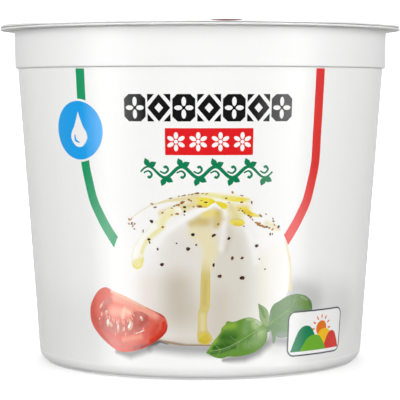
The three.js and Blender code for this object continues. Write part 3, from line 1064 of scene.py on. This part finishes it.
TOMATO_OUTLINE = (
    (-34.4, 18.1), (-34, 20), (-32.8, 22.1), (-31.2, 24), (-29.6, 25), (-28.2, 25.3), (-27, 24.9),
    (-25.8, 24.3), (-22, 23.1), (-17.6, 21.2), (-13.2, 19.3), (-11.2, 18.5), (-10, 17.5), (-9.4, 15.7),
    (-9.6, 14), (-10.8, 12.4), (-12.8, 10.9), (-15, 9.6), (-17.8, 8.4), (-21.5, 7.6), (-24.4, 7.5),
    (-26.8, 8.5), (-30.2, 10.7), (-32, 12.3), (-33.4, 13.9), (-34.3, 15.9),
)
TOMATO_HOLLOWS = (
    ((-31.2, 18.6), (-30.6, 20.4), (-29.2, 22), (-27, 22.6), (-26.2, 21.6), (-26.9, 20.6), (-28.2, 19.8),
     (-28.8, 18.4), (-30.2, 17.8)),
    ((-31, 15.6), (-30.2, 17.2), (-28.2, 17.8), (-26.2, 17), (-24.4, 16.4), (-22.4, 16.4), (-20.6, 17.2),
     (-19.4, 18.8), (-17.4, 19), (-15.8, 18.4), (-14.8, 17.4), (-15, 15.8), (-16.2, 14.6), (-18.4, 13.4),
     (-20.4, 12.5), (-24, 12.1), (-28.4, 12.6), (-30.6, 13.6)),
)
TOMATO_SEEDS = (
    (-28, 15.4, 1.2, 0.6, 84), (-27, 14.9, 0.75, 0.42, 110), (-24.6, 14, 1.3, 0.36, 84),
    (-22.8, 13.9, 0.7, 0.4, 75), (-20.6, 14.9, 1.4, 0.68, 66), (-17.1, 17.1, 0.75, 0.45, 120),
    (-28.4, 18.2, 0.8, 0.36, 50), (-30.2, 17.6, 0.6, 0.3, 80), (-20.6, 16.3, 0.6, 0.34, 100),
    (-30.4, 19.9, 0.8, 0.22, 70),
)
TOMATO_GLINTS = (
    (-28.1, 15.6, 0.8, 0.34, 84), (-24.7, 14.5, 0.8, 0.18, 84), (-21, 14.9, 0.9, 0.34, 62),
    (-17.2, 17.4, 0.35, 0.18, 120), (-17.2, 13.5, 1.1, 0.14, 24), (-18.6, 13, 0.5, 0.12, 30),
    (-29.8, 20.4, 1.1, 0.1, 60), (-28.6, 18.6, 0.3, 0.14, 40), (-25, 15.6, 0.4, 0.12, 80),
    (-20.6, 15.9, 0.35, 0.12, 60), (-22.9, 16.9, 0.35, 0.11, 20), (-31, 16.3, 0.35, 0.13, 70),
)
# Pale fibres of the core that hang into the lower hollow: place, length and turn in degrees.
FIBRE_WIDTH = 0.42
TOMATO_FIBRES = (
    (-28.4, 17.7, 1.2, -80), (-27.4, 17.6, 1.6, -95), (-26.6, 17.3, 1.5, -75), (-25.8, 17.1, 1.9, -98),
    (-25, 16.9, 1.4, -85), (-24.2, 16.9, 2, -100), (-23.4, 16.8, 1.7, -80), (-22.6, 16.8, 2.1, -92),
    (-21.8, 17, 1.5, -70), (-21.1, 17.3, 1.9, -84), (-20.4, 17.8, 1.6, -66), (-19.9, 18.5, 1.3, -52),
    (-25.6, 11.9, 0.9, 92), (-22.4, 11.9, 1.2, 78), (-19.4, 12.6, 0.8, 86), (-16.8, 13.9, 0.9, 62),
)
TOMATO_FLESH = tint(225, 106, 90)
TOMATO_PALE = tint(249, 170, 148)
TOMATO_CREAM = tint(252, 208, 180)
TOMATO_BLUSH = tint(224, 124, 113)
TOMATO_JELLY = tint(209, 114, 102)
TOMATO_SEED = tint(240, 190, 164)
TOMATO_SKIN = tint(209, 94, 80)
TOMATO_RED = tint(218, 60, 38)
TOMATO_DEEP = tint(170, 48, 38)
TOMATO_DUSK = tint(194, 84, 76)
TOMATO_MAUVE = tint(178, 104, 102)
TOMATO_SHADING = (
    ([(-29.6, 11.4, 2.6), (-24.4, 9.4, 2.8), (-19, 9.8, 2.2)], 0.9, TOMATO_BLUSH),
    ([(-23, 11, 1.3), (-17.6, 12, 1.5)], 0.7, TOMATO_PALE),
    ([(-26, 18.6, 2.6), (-21, 18.6, 2.6)], 0.95, TOMATO_PALE, 0.1),
    ([(-25, 22.6, 2.4), (-20.6, 21.4, 2.4), (-12.8, 18, 1.8)], 0.95, TOMATO_PALE, 0.1),
    ([(-26.4, 24.2, 0.8), (-21.6, 22.6, 1), (-16, 20.4, 0.7)], 0.7, TOMATO_CREAM),
    ([(-23, 17.4, 1), (-22.4, 19.4, 1.1), (-21, 18.6, 0.9)], 0.8, TOMATO_CREAM),
    ([(-32.6, 21.6, 1.2), (-33.6, 18.2, 1.7), (-32.6, 15.4, 2.3), (-31.2, 12.4, 1.3),
      (-27, 8.6, 0.8)], 0.9, TOMATO_SKIN),
    ([(-19.6, 8.8, 1.1), (-16.4, 9.6, 1.3)], 0.8, TOMATO_MAUVE),
    ([(-13.6, 13, 2.2), (-12.4, 15.2, 1.2)], 0.6, TOMATO_RED),
    ([(-10.4, 16, 1), (-10.6, 14, 1.3), (-12.2, 12.2, 1.4), (-14.4, 11, 1)], 0.95, TOMATO_RED, 0.2),
    ([(-9.6, 15.4, 0.6), (-10.1, 13.4, 0.7), (-13.2, 10.8, 0.8), (-17.4, 9, 0.5)], 0.7, TOMATO_DEEP),
    ([(-19, 21.9, 0.25), (-14, 19.8, 0.3), (-10.2, 17.6, 0.35)], 0.8, TOMATO_DEEP),
)
JELLY_SHADING = (
    ([(-30.2, 19, 0.9), (-28.8, 18.9, 0.8), (-28.6, 20.2, 0.6)], 0.7, TOMATO_DUSK),
    ([(-28.4, 21.4, 1.1)], 0.5, TOMATO_BLUSH),
    ([(-29.6, 16.2, 1.4), (-30.2, 14, 1.2)], 0.6, TOMATO_DUSK),
    ([(-26.2, 16.2, 1.4), (-23.4, 15.8, 1.2)], 0.6, TOMATO_BLUSH),
    ([(-19.2, 17.9, 1.2), (-19.2, 15, 1.6)], 0.6, TOMATO_DUSK),
    ([(-17.6, 15.4, 1.4), (-15.8, 17, 1.6)], 0.95, TOMATO_DUSK, 0.1),
    ([(-26.4, 12.8, 1.2), (-21.6, 12.8, 1.2)], 0.5, TOMATO_BLUSH),
)
pictured("tomato_wedge", [curve(TOMATO_OUTLINE, 4)], 3, "tomato ink", TOMATO_FLESH, TOMATO_SHADING, 0.14)
hollows = [curve(hollow, 4) for hollow in TOMATO_HOLLOWS]
pictured("tomato_jelly", hollows, 4, "tomato jelly ink", TOMATO_JELLY, JELLY_SHADING, 0.15)
fibres = [leaf(u, v, length, FIBRE_WIDTH, turn) for u, v, length, turn in TOMATO_FIBRES]
pictured("tomato_fibres", fibres, 5, "tomato fibre ink", TOMATO_PALE, mottle=0.2)
seeds = [ellipse(*seed, 12) for seed in TOMATO_SEEDS]
pictured("tomato_seeds", seeds, 5, "tomato seed ink", TOMATO_SEED, mottle=0.3)
printed("tomato_glints", [ellipse(*glint, 8) for glint in TOMATO_GLINTS], 6, bare_white, "food_picture")

# --- Basil -------------------------------------------------------------------------
# The printed sprig of basil: a large leaf in front, a second one behind it, a small one
# standing up between them and a bud, with their ribs in paler ink.

FRONT_LEAF = (
    (1.7, 7.9), (1.7, 7.9), (2.6, 9.2), (3.6, 10.8), (4.7, 12.1), (5.8, 13.5), (6.2, 14.8), (7.1, 15.6),
    (7.7, 16.6), (9.2, 16.4), (10.4, 16.6), (12.2, 17.2), (14.2, 17.5), (16.2, 17), (17.8, 16),
    (19.2, 14.6), (19.8, 13.2), (19.9, 12), (19.4, 10.4), (18.2, 9), (16.4, 7.9), (14.2, 7.2), (12, 6.8),
    (9.8, 6.7), (8.2, 6.8), (6.4, 6.3), (4.8, 6.5), (3.4, 7),
)
FRONT_RIB = ((2.8, 8.3), (6.5, 8.9), (9, 9.8), (11.5, 11), (14, 12.4), (16.6, 13.8), (19, 14.8))
BACK_LEAF = (
    (19.6, 14.8), (19.6, 14.8), (20.3, 17.4), (20.6, 19.2), (21.6, 20.8), (23.6, 21.8), (25.6, 22.8),
    (28.6, 23.4), (31.4, 23), (33.2, 22.2), (35, 20.2), (34.6, 16), (30, 12.4), (26.6, 11.5), (23.4, 11.5),
    (21.4, 13.2),
)
BACK_RIB = ((20, 15), (22.8, 17), (25.8, 18.7), (27.7, 20.4), (28.7, 22.7))
SMALL_LEAF = (
    (16.7, 21.3), (16.7, 21.3), (18.3, 20.5), (19.6, 19.4), (20.3, 17.4), (20.1, 14.8), (18.4, 15.4),
    (17.4, 17), (17.1, 18.8),
)
STALK = ((18.2, 15.4), (19.4, 14.8), (20.2, 13.2))
BASIL_BUD = ((20.9, 14.8), (22.4, 14.5), (22.7, 12.6), (22.4, 10.3), (21.7, 10), (21.4, 12))
BASIL_DARK = tint(50, 100, 34)
BASIL_DEEP = tint(36, 88, 22)
BASIL_GREEN = tint(102, 146, 60)
BASIL_MIST = tint(130, 164, 104)
BASIL_BACK = tint(108, 142, 94)
BASIL_ASH = tint(142, 154, 144)
BASIL_YOUNG = tint(146, 172, 116)
BASIL_PALE = tint(170, 194, 138)
BASIL_MILKY = tint(202, 214, 184)
BASIL_LIVELY = tint(140, 174, 62)
BASIL_DUSK = tint(94, 130, 84)
BASIL_MOSS = tint(112, 144, 62)
BASIL_RIB = tint(138, 168, 98)
FRONT_SHADING = (
    ([(17.4, 13.2, 3.4), (15.8, 15.8, 2.2)], 0.95, BASIL_PALE),
    ([(16.4, 16.4, 1), (17.6, 15.6, 0.8)], 0.8, BASIL_MILKY),
    ([(13.6, 9.8, 2), (16.8, 11, 2.6)], 0.8, BASIL_MIST),
    ([(13.2, 13.4, 2), (13.4, 16, 1.8)], 0.8, BASIL_MIST),
    ([(6.9, 14.9, 1.3), (9.6, 15.4, 1.7)], 0.9, BASIL_LIVELY),
    ([(6, 13.6, 0.9), (4.2, 11, 0.9), (2.6, 8.9, 0.6)], 0.9, BASIL_LIVELY),
    ([(6.8, 12.2, 2.6), (9.6, 12, 2.8)], 0.85, BASIL_DARK),
    ([(4.2, 9.2, 1.4), (7, 9.8, 2), (9.8, 9.6, 1.2)], 0.85, BASIL_DEEP),
    ([(3.4, 7.9, 0.8), (6.4, 8.5, 1.2), (9.2, 9.4, 0.9)], 0.75, BASIL_DEEP),
    ([(11.4, 11.6, 1), (15, 13.4, 1), (18.6, 15, 0.6)], 0.45, BASIL_GREEN),
    ([(13.6, 17.1, 0.8), (15.6, 16.9, 0.8)], 0.8, BASIL_PALE),
)
BACK_SHADING = (
    ([(23.4, 12.2, 1.4), (26, 11.6, 2.2), (29, 12.6, 1.6)], 0.8, BASIL_ASH),
    ([(20.8, 15.6, 1), (20.8, 18.6, 0.8)], 0.5, BASIL_ASH),
    ([(21.6, 11.6, 1), (22.2, 10.2, 0.8)], 0.6, BASIL_ASH),
    ([(28.6, 17.8, 2.4), (31.6, 16.8, 2.4)], 0.5, BASIL_DUSK),
    ([(30, 21.2, 2), (33.2, 20, 2.2)], 0.8, BASIL_MOSS),
    ([(30.8, 22.5, 0.5), (32.8, 21.6, 0.6)], 0.5, BASIL_PALE),
    ([(33.8, 21, 0.5), (34.8, 19.2, 0.6)], 0.5, BASIL_DARK),
)
SMALL_SHADING = (
    ([(16.9, 21.2, 0.5), (18, 19.2, 0.9), (18.8, 17.4, 0.6)], 0.7, BASIL_DUSK),
    ([(19.9, 18.4, 0.5), (20.1, 16.2, 0.6)], 0.6, BASIL_PALE),
)
FRONT_RIB_WIDTHS = (0.2, 0.34, 0.15)
BACK_RIB_WIDTHS = (0.36, 0.26, 0.12)
SHADOW_RIB_WIDTHS = (0.2, 0.3, 0.1)
STALK_WIDTHS = (0.5, 1.3, 1.2)
# Where the first pair of side ribs leaves the middle rib, and over what share the others follow.
# Their reach swells and shrinks along a part of half a wave.
RIB_SHARES = (0.16, 0.68)
RIB_SWELL = (0.2, 0.65)
# Side ribs: pairs, reach, lean towards the tip, and width.
FRONT_RIBS = (3, 3.0, -0.9, 0.13)
BACK_RIBS = (3, 3.4, 0.9, 0.14)
SHADOW_RIBS = (5, 2.5, -0.9, 0.18)
SHADOW_SHIFT = (0.1, -0.45)


def side_ribs(rib, pairs, reach, lean, width):
    """Pairs of fine ribs that leave the middle rib and bend towards the tip."""
    line = curve(rib, closed=False)
    along = np.gradient(line, axis=0)
    along /= np.linalg.norm(along, axis=1, keepdims=True)
    ribs = []
    for i in range(pairs):
        at = int((RIB_SHARES[0] + RIB_SHARES[1] * i / (pairs - 1)) * (len(line) - 1))
        out = reach * math.sin(math.pi * (RIB_SWELL[0] + RIB_SWELL[1] * (i + 0.5) / pairs))
        forward = along[at] * lean
        for way in (1, -1):
            across = np.array([-along[at][1], along[at][0]]) * way
            bend = (line[at], line[at] + out * (0.5 * across + 0.5 * forward),
                    line[at] + out * (across + 0.75 * forward))
            ribs.append(ribbon(bend, [width, width * 0.7, width * 0.3], 4))
    return ribs


back_leaf = [curve(BACK_LEAF, 4), curve(BASIL_BUD, 4), ribbon(STALK, STALK_WIDTHS)]
pictured("basil_back_leaf", back_leaf, 3, "back basil ink", BASIL_BACK, BACK_SHADING, 0.1)
pictured("basil_small_leaf", [curve(SMALL_LEAF, 4)], 4, "young basil ink", BASIL_YOUNG, SMALL_SHADING, 0.1)
pictured("basil_front_leaf", [curve(FRONT_LEAF, 4)], 5, "front basil ink", BASIL_GREEN, FRONT_SHADING, 0.12)
shadow_line = [(u + SHADOW_SHIFT[0], v + SHADOW_SHIFT[1]) for u, v in FRONT_RIB]
shadow_ribs = [ribbon(shadow_line, SHADOW_RIB_WIDTHS)] + side_ribs(shadow_line, *SHADOW_RIBS)
pictured("basil_shadow_ribs", shadow_ribs, 6, "dark basil ink", BASIL_DUSK, mottle=0.1)
ribs = [ribbon(FRONT_RIB, FRONT_RIB_WIDTHS)] + side_ribs(FRONT_RIB, *FRONT_RIBS)
ribs += [ribbon(BACK_RIB, BACK_RIB_WIDTHS)] + side_ribs(BACK_RIB, *BACK_RIBS)
pictured("basil_ribs", ribs, 7, "basil rib ink", BASIL_RIB, mottle=0.1)

# --- Origin tag --------------------------------------------------------------------
# A small rounded tag over the sprig: a white field in a grey line, with a printed sun
# coming up behind overlapping fields of green, yellow and red.

TAG_BOX = (26.5, 5.7, 48.6, 18.5)
TAG_CORNER = 2.3
FIELD_CORNER = 1.9
TAG_LINE = 0.42
TAG_FLOOR = 7.0
TAG_GREY = tint(84, 86, 90)
# Hills: left foot, right foot, crest, name and ink. Later ones lie in front.
TAG_HILLS = (
    (35.6, 46.0, 12.9, "yellow", tint(240, 188, 24)),
    (27.6, 38.6, 14.2, "deep_green", tint(24, 128, 84)),
    (40.4, 47.8, 12.0, "red", tint(212, 52, 40)),
    (31.0, 41.8, 11.4, "green", tint(108, 172, 44)),
)
SUN_PLACE = (39.4, 13.0)
SUN_RADIUS = 2.2
SUN_RAY = (0.65, 0.26)
SUN_RAY_GAP = 30
SUN_RAY_REACH = 3.4
SUN_ORANGE = tint(228, 116, 26)


def hill(left, right, floor, crest):
    """A low hill between two feet."""
    middle, shoulder = (left + right) / 2, floor + 0.8 * (crest - floor)
    return curve([(left, floor), (left, floor), ((left + middle) / 2, shoulder), (middle, crest),
                  ((right + middle) / 2, shoulder), (right, floor), (right, floor)])


left, bottom, right, top = TAG_BOX
field = (left + TAG_LINE, bottom + TAG_LINE, right - TAG_LINE, top - TAG_LINE)
pictured("tag_edge", [rounded_box(*TAG_BOX, TAG_CORNER)], 7, "grey ink", TAG_GREY)
printed("tag_field", [rounded_box(*field, FIELD_CORNER)], 8, bare_white, "label_film")
sun = [ellipse(*SUN_PLACE, SUN_RADIUS, SUN_RADIUS)]
sun += [ellipse(*beside(*SUN_PLACE, SUN_RAY_REACH, turn), *SUN_RAY, turn, 10)
        for turn in range(0, 181, SUN_RAY_GAP)]
pictured("tag_sun", sun, 9, "orange ink", SUN_ORANGE)
for layer, (left, right, crest, name, colour) in enumerate(TAG_HILLS, 10):
    pictured("tag_hill_" + name, [hill(left, right, TAG_FLOOR, crest)], layer, "tag ink " + name, colour)

# --- Lid print ---------------------------------------------------------------------
# Inks on the sealing film, made up to go with the label: two arcs of green and red, a
# wreath round a blue badge, and a red field that runs out over the front of the rim.

LID_ARC = (46.0, 49.0)
LID_ARC_SPAN = (34, 146)
WREATH_RADIUS = 30.0
WREATH_PAIRS = 22
WREATH_LEAF = (7.4, 4.4)
WREATH_LEAN = 34
LID_BADGE_RADIUS = 15.0
LID_DROP = (0, -0.8, 8)
# The red field: its angles from the front, its radii, and how far it runs down the edge.
RIM_FIELD_SPAN = (2.6, 11.0)
RIM_FIELD = (51.0, 58.78)
RIM_RUN = (0.1, 0.85)
# Past the rim, this share of the last millimetre bends over the edge and the rest runs down it.
RIM_BEND = 0.3
LID_RED = tint(108, 14, 20)


def on_lid(u, v, lift):
    """The point of the film at a place seen from above. The last millimetre runs down the edge."""
    radius, angle = math.hypot(u, v), math.atan2(u, -v)
    rim = FILM_RADIUS - EDGE_ROUND
    top = film_top(min(radius, rim), angle)
    down = min(max(radius - rim, 0), 1)
    tilt = math.pi / 2 * min(down / RIM_BEND, 1)
    low = FLANGE_TOP + EDGE_ROLL * edge_lift(angle) + EDGE_ROUND
    fall = (top - EDGE_ROUND - low) * max(down - RIM_BEND, 0) / (1 - RIM_BEND)
    out = min(radius, rim) + (EDGE_ROUND + lift) * math.sin(tilt)
    height = top - EDGE_ROUND * (1 - math.cos(tilt)) - fall + lift * math.cos(tilt)
    return out * math.sin(angle), -out * math.cos(angle), height


def around(turns):
    """Unit steps outwards at angles in degrees, counted from the front towards +X."""
    turns = np.radians(turns)
    return np.stack([np.sin(turns), -np.cos(turns)], 1)


def ring_part(inner, outer, start, end):
    """Part of a ring seen from above, between two angles."""
    out = around(np.linspace(start, end, 2 + int(abs(end - start) / 2)))
    return np.concatenate([out * outer, out[::-1] * inner])


def on_film(name, shapes, layer, ink, step=2, holes=()):
    """A field of ink on the sealing film."""
    return printed(name, shapes, layer, ink, "lid_print", holes, (0,), on_lid, step)


lid_green, lid_red, lid_blue, rim_red = (
    ink_material(title + " ink of the lid", colour) for title, colour in (
        ("green", VINE_GREEN), ("red", BAND_RED), ("blue", BADGE_BLUE), ("dark red", LID_RED)))
for side, name, ink in ((-1, "green", lid_green), (1, "red", lid_red)):
    on_film("lid_arc_" + name, [ring_part(*LID_ARC, *(side * turn for turn in LID_ARC_SPAN))], 1, ink)
wreath = []
for i in range(WREATH_PAIRS):
    turn = 360 * i / WREATH_PAIRS
    wreath += [leaf(*beside(0, 0, WREATH_RADIUS, turn), *WREATH_LEAF, turn + 90 + lean)
               for lean in (WREATH_LEAN, -WREATH_LEAN)]
on_film("lid_wreath", wreath, 1, lid_green)
disc = ellipse(0, 0, LID_BADGE_RADIUS, LID_BADGE_RADIUS, steps=60)
on_film("lid_badge", [disc], 1, lid_blue, holes=[milk_drop(*LID_DROP)])
on_film("lid_rim_field", [ring_part(*RIM_FIELD, *RIM_FIELD_SPAN)], 0, rim_red, 0.35)
# The ink runs furthest down the edge in the middle of its width.
share = np.linspace(0, 1, 25)
out = around(RIM_FIELD_SPAN[0] + share * (RIM_FIELD_SPAN[1] - RIM_FIELD_SPAN[0]))
run = RIM_RUN[0] + (RIM_RUN[1] - RIM_RUN[0]) * np.sin(math.pi * share) ** 0.5
edge = np.concatenate([out * (RIM_FIELD[1] + run)[:, None], out[::-1] * RIM_FIELD[1]])
on_film("lid_rim_edge", [edge], 0, rim_red, 0.12)

# --- Studio ------------------------------------------------------------------------
# A pale floor that runs up into a backdrop. Nested softboxes and matt reflector walls stand
# to the left and right, with a fill in front, a light overhead and two behind the tub. The
# camera stands a little below the lid.

EYE_PLACE = (-0.06, -541.5, 79.0)
EYE_DOWN = math.radians(3.39)
FOCAL_LENGTH = 163.4
SENSOR = 36.0
# Softboxes, one within the other, then reflector walls, which leave no mirror image on the
# tub: turn from the front in degrees, width, level, and whether it is mirrored.
SIDE_LIGHTS = (
    (55.7, 630, 1.19, True), (57.2, 440, 1.19, True), (58.7, 260, 1.19, True), (60.2, 86, 1.19, True),
    (30, 300, 0.9, False), (90, 300, 1.85, False),
)
SIDE_DISTANCE = 900
SIDE_MIDDLE = 150
SIDE_HEIGHT = 1000
# Other lights: name, place, height aimed at, size, level, and whether it is mirrored and seen.
OTHER_LIGHTS = (
    ("front fill", (0, -800, 120), 40, 240, 15.9, False, True),
    ("overhead", (0, 420, 820), 90, 700, 1.5, True, True),
    ("back light", (0, 900, 350), 60, 420, 2.5, False, False),
    ("back fill", (0, 700, 140), 60, 240, 9.0, False, False),
)
# The room round the tub: its diffuse light, its mirror image in front and behind, and where it turns.
AMBIENT = 0.22
ROOM_MIRRORED = (0.06, 0.78)
ROOM_TURN = (-0.2, 0.6)
FLOOR_REACH = 1600
BEND_START = 600
BEND_RADIUS = 400
BEND_STEPS = 12
BACKDROP_HEIGHT = 1500
FLOOR_WHITE = (0.8, 0.8, 0.8, 1)
# The floor's glow as seen, near the tub and far off, and the distances in metres.
FLOOR_GLOW = (0.45, 1.3)
GLOW_REACH = (0.055, 0.2)
# The light that it throws up at the tub, likewise. None comes from under the foot, and it
# fades from the front towards the sides to a share of its strength.
FLOOR_BOUNCE = (0.5, 0.06)
BOUNCE_REACH = (0.0495, 0.056)
CONTACT_REACH = (0.0465, 0.0485)
BOUNCE_FADE = (-0.047, -0.03)
BOUNCE_ASIDE = 0.35


def area_light(name, place, aim, size, level):
    """A rectangle of even light by the radiance of its face, aimed at a height on the tub's axis."""
    light = bpy.data.lights.new(name, "AREA")
    light.shape = "RECTANGLE"
    light.size = size[0] * MM
    light.size_y = size[1] * MM
    light.energy = level * math.pi * light.size * light.size_y
    holder = bpy.data.objects.new(name, light)
    holder.location = Vector(place) * MM
    holder.rotation_euler = (Vector((0, 0, aim)) - Vector(place)).to_track_quat("-Z", "Y").to_euler()
    bpy.context.scene.collection.objects.link(holder)
    return holder


def studio_world():
    """White behind the tub for the camera, and a room that is dark in front and pale behind."""
    world = bpy.data.worlds.new("studio")
    bpy.context.scene.world = world
    world.use_nodes = True
    tree = world.node_tree
    surface = tree.nodes["Background"]
    path = add(tree, "LightPath").outputs
    back = add(tree, "SeparateXYZ", {0: add(tree, "TexCoord").outputs["Generated"]}).outputs[1]
    room = mixed(tree, path["Is Glossy Ray"], AMBIENT, ramp(tree, back, *ROOM_TURN, *ROOM_MIRRORED))
    connect(tree, surface, {"Color": (1, 1, 1, 1), "Strength": mixed(tree, path["Is Camera Ray"], room, 1.0)})


def floor_material():
    """White to the camera, and a glow for the light that the floor throws up at the tub."""
    material, tree, shader = new_material("pale floor", Roughness=1.0, Emission_Color=(1, 1, 1, 1))
    seen = add(tree, "LightPath").outputs["Is Camera Ray"]
    paint = mixed_colour(tree, seen, (0, 0, 0, 1), FLOOR_WHITE)
    spot = own_place(tree)
    reach = add(tree, "VectorMath", {0: spot}, operation="LENGTH").outputs["Value"]
    ahead = add(tree, "SeparateXYZ", {0: spot}).outputs[1]
    bounce = ramp(tree, reach, *BOUNCE_REACH, *FLOOR_BOUNCE)
    for share in (ramp(tree, reach, *CONTACT_REACH), ramp(tree, ahead, *BOUNCE_FADE, 1.0, BOUNCE_ASIDE)):
        bounce = calc(tree, "MULTIPLY", bounce, share)
    glow = mixed(tree, seen, bounce, ramp(tree, reach, *GLOW_REACH, *FLOOR_GLOW))
    connect(tree, shader, {"Base Color": paint, "Emission Strength": glow})
    return material


def studio_floor():
    profile = [(-FLOOR_REACH, 0), (BEND_START, 0)]
    for i in range(1, BEND_STEPS + 1):
        angle = math.radians(90 * i / BEND_STEPS)
        profile.append((BEND_START + BEND_RADIUS * math.sin(angle), BEND_RADIUS * (1 - math.cos(angle))))
    profile.append((BEND_START + BEND_RADIUS, BACKDROP_HEIGHT))
    points = [(side * FLOOR_REACH, y, z) for y, z in profile for side in (-1, 1)]
    faces = [(2 * i, 2 * i + 1, 2 * i + 3, 2 * i + 2) for i in range(len(profile) - 1)]
    floor = new_object("floor", points, faces, floor_material())
    floor.visible_glossy = False


for side in (-1, 1):
    for turn, width, level, mirrored in SIDE_LIGHTS:
        angle = math.radians(side * turn)
        place = (math.sin(angle) * SIDE_DISTANCE, -math.cos(angle) * SIDE_DISTANCE, SIDE_MIDDLE)
        light = area_light("side light", place, SIDE_MIDDLE, (width, SIDE_HEIGHT), level)
        light.visible_glossy = mirrored
for name, place, aim, size, level, mirrored, seen in OTHER_LIGHTS:
    light = area_light(name, place, aim, (size, size), level)
    light.visible_glossy = mirrored
    light.visible_camera = seen
studio_world()
studio_floor()

eye = bpy.data.cameras.new("camera")
eye.sensor_width = SENSOR
eye.lens = FOCAL_LENGTH
eye.clip_start = 0.01
camera = bpy.data.objects.new("camera", eye)
camera.location = Vector(EYE_PLACE) * MM
camera.rotation_euler = (math.radians(90) - EYE_DOWN, 0, 0)
bpy.context.scene.collection.objects.link(camera)
bpy.context.scene.camera = camera
bpy.context.scene.view_settings.view_transform = "Standard"
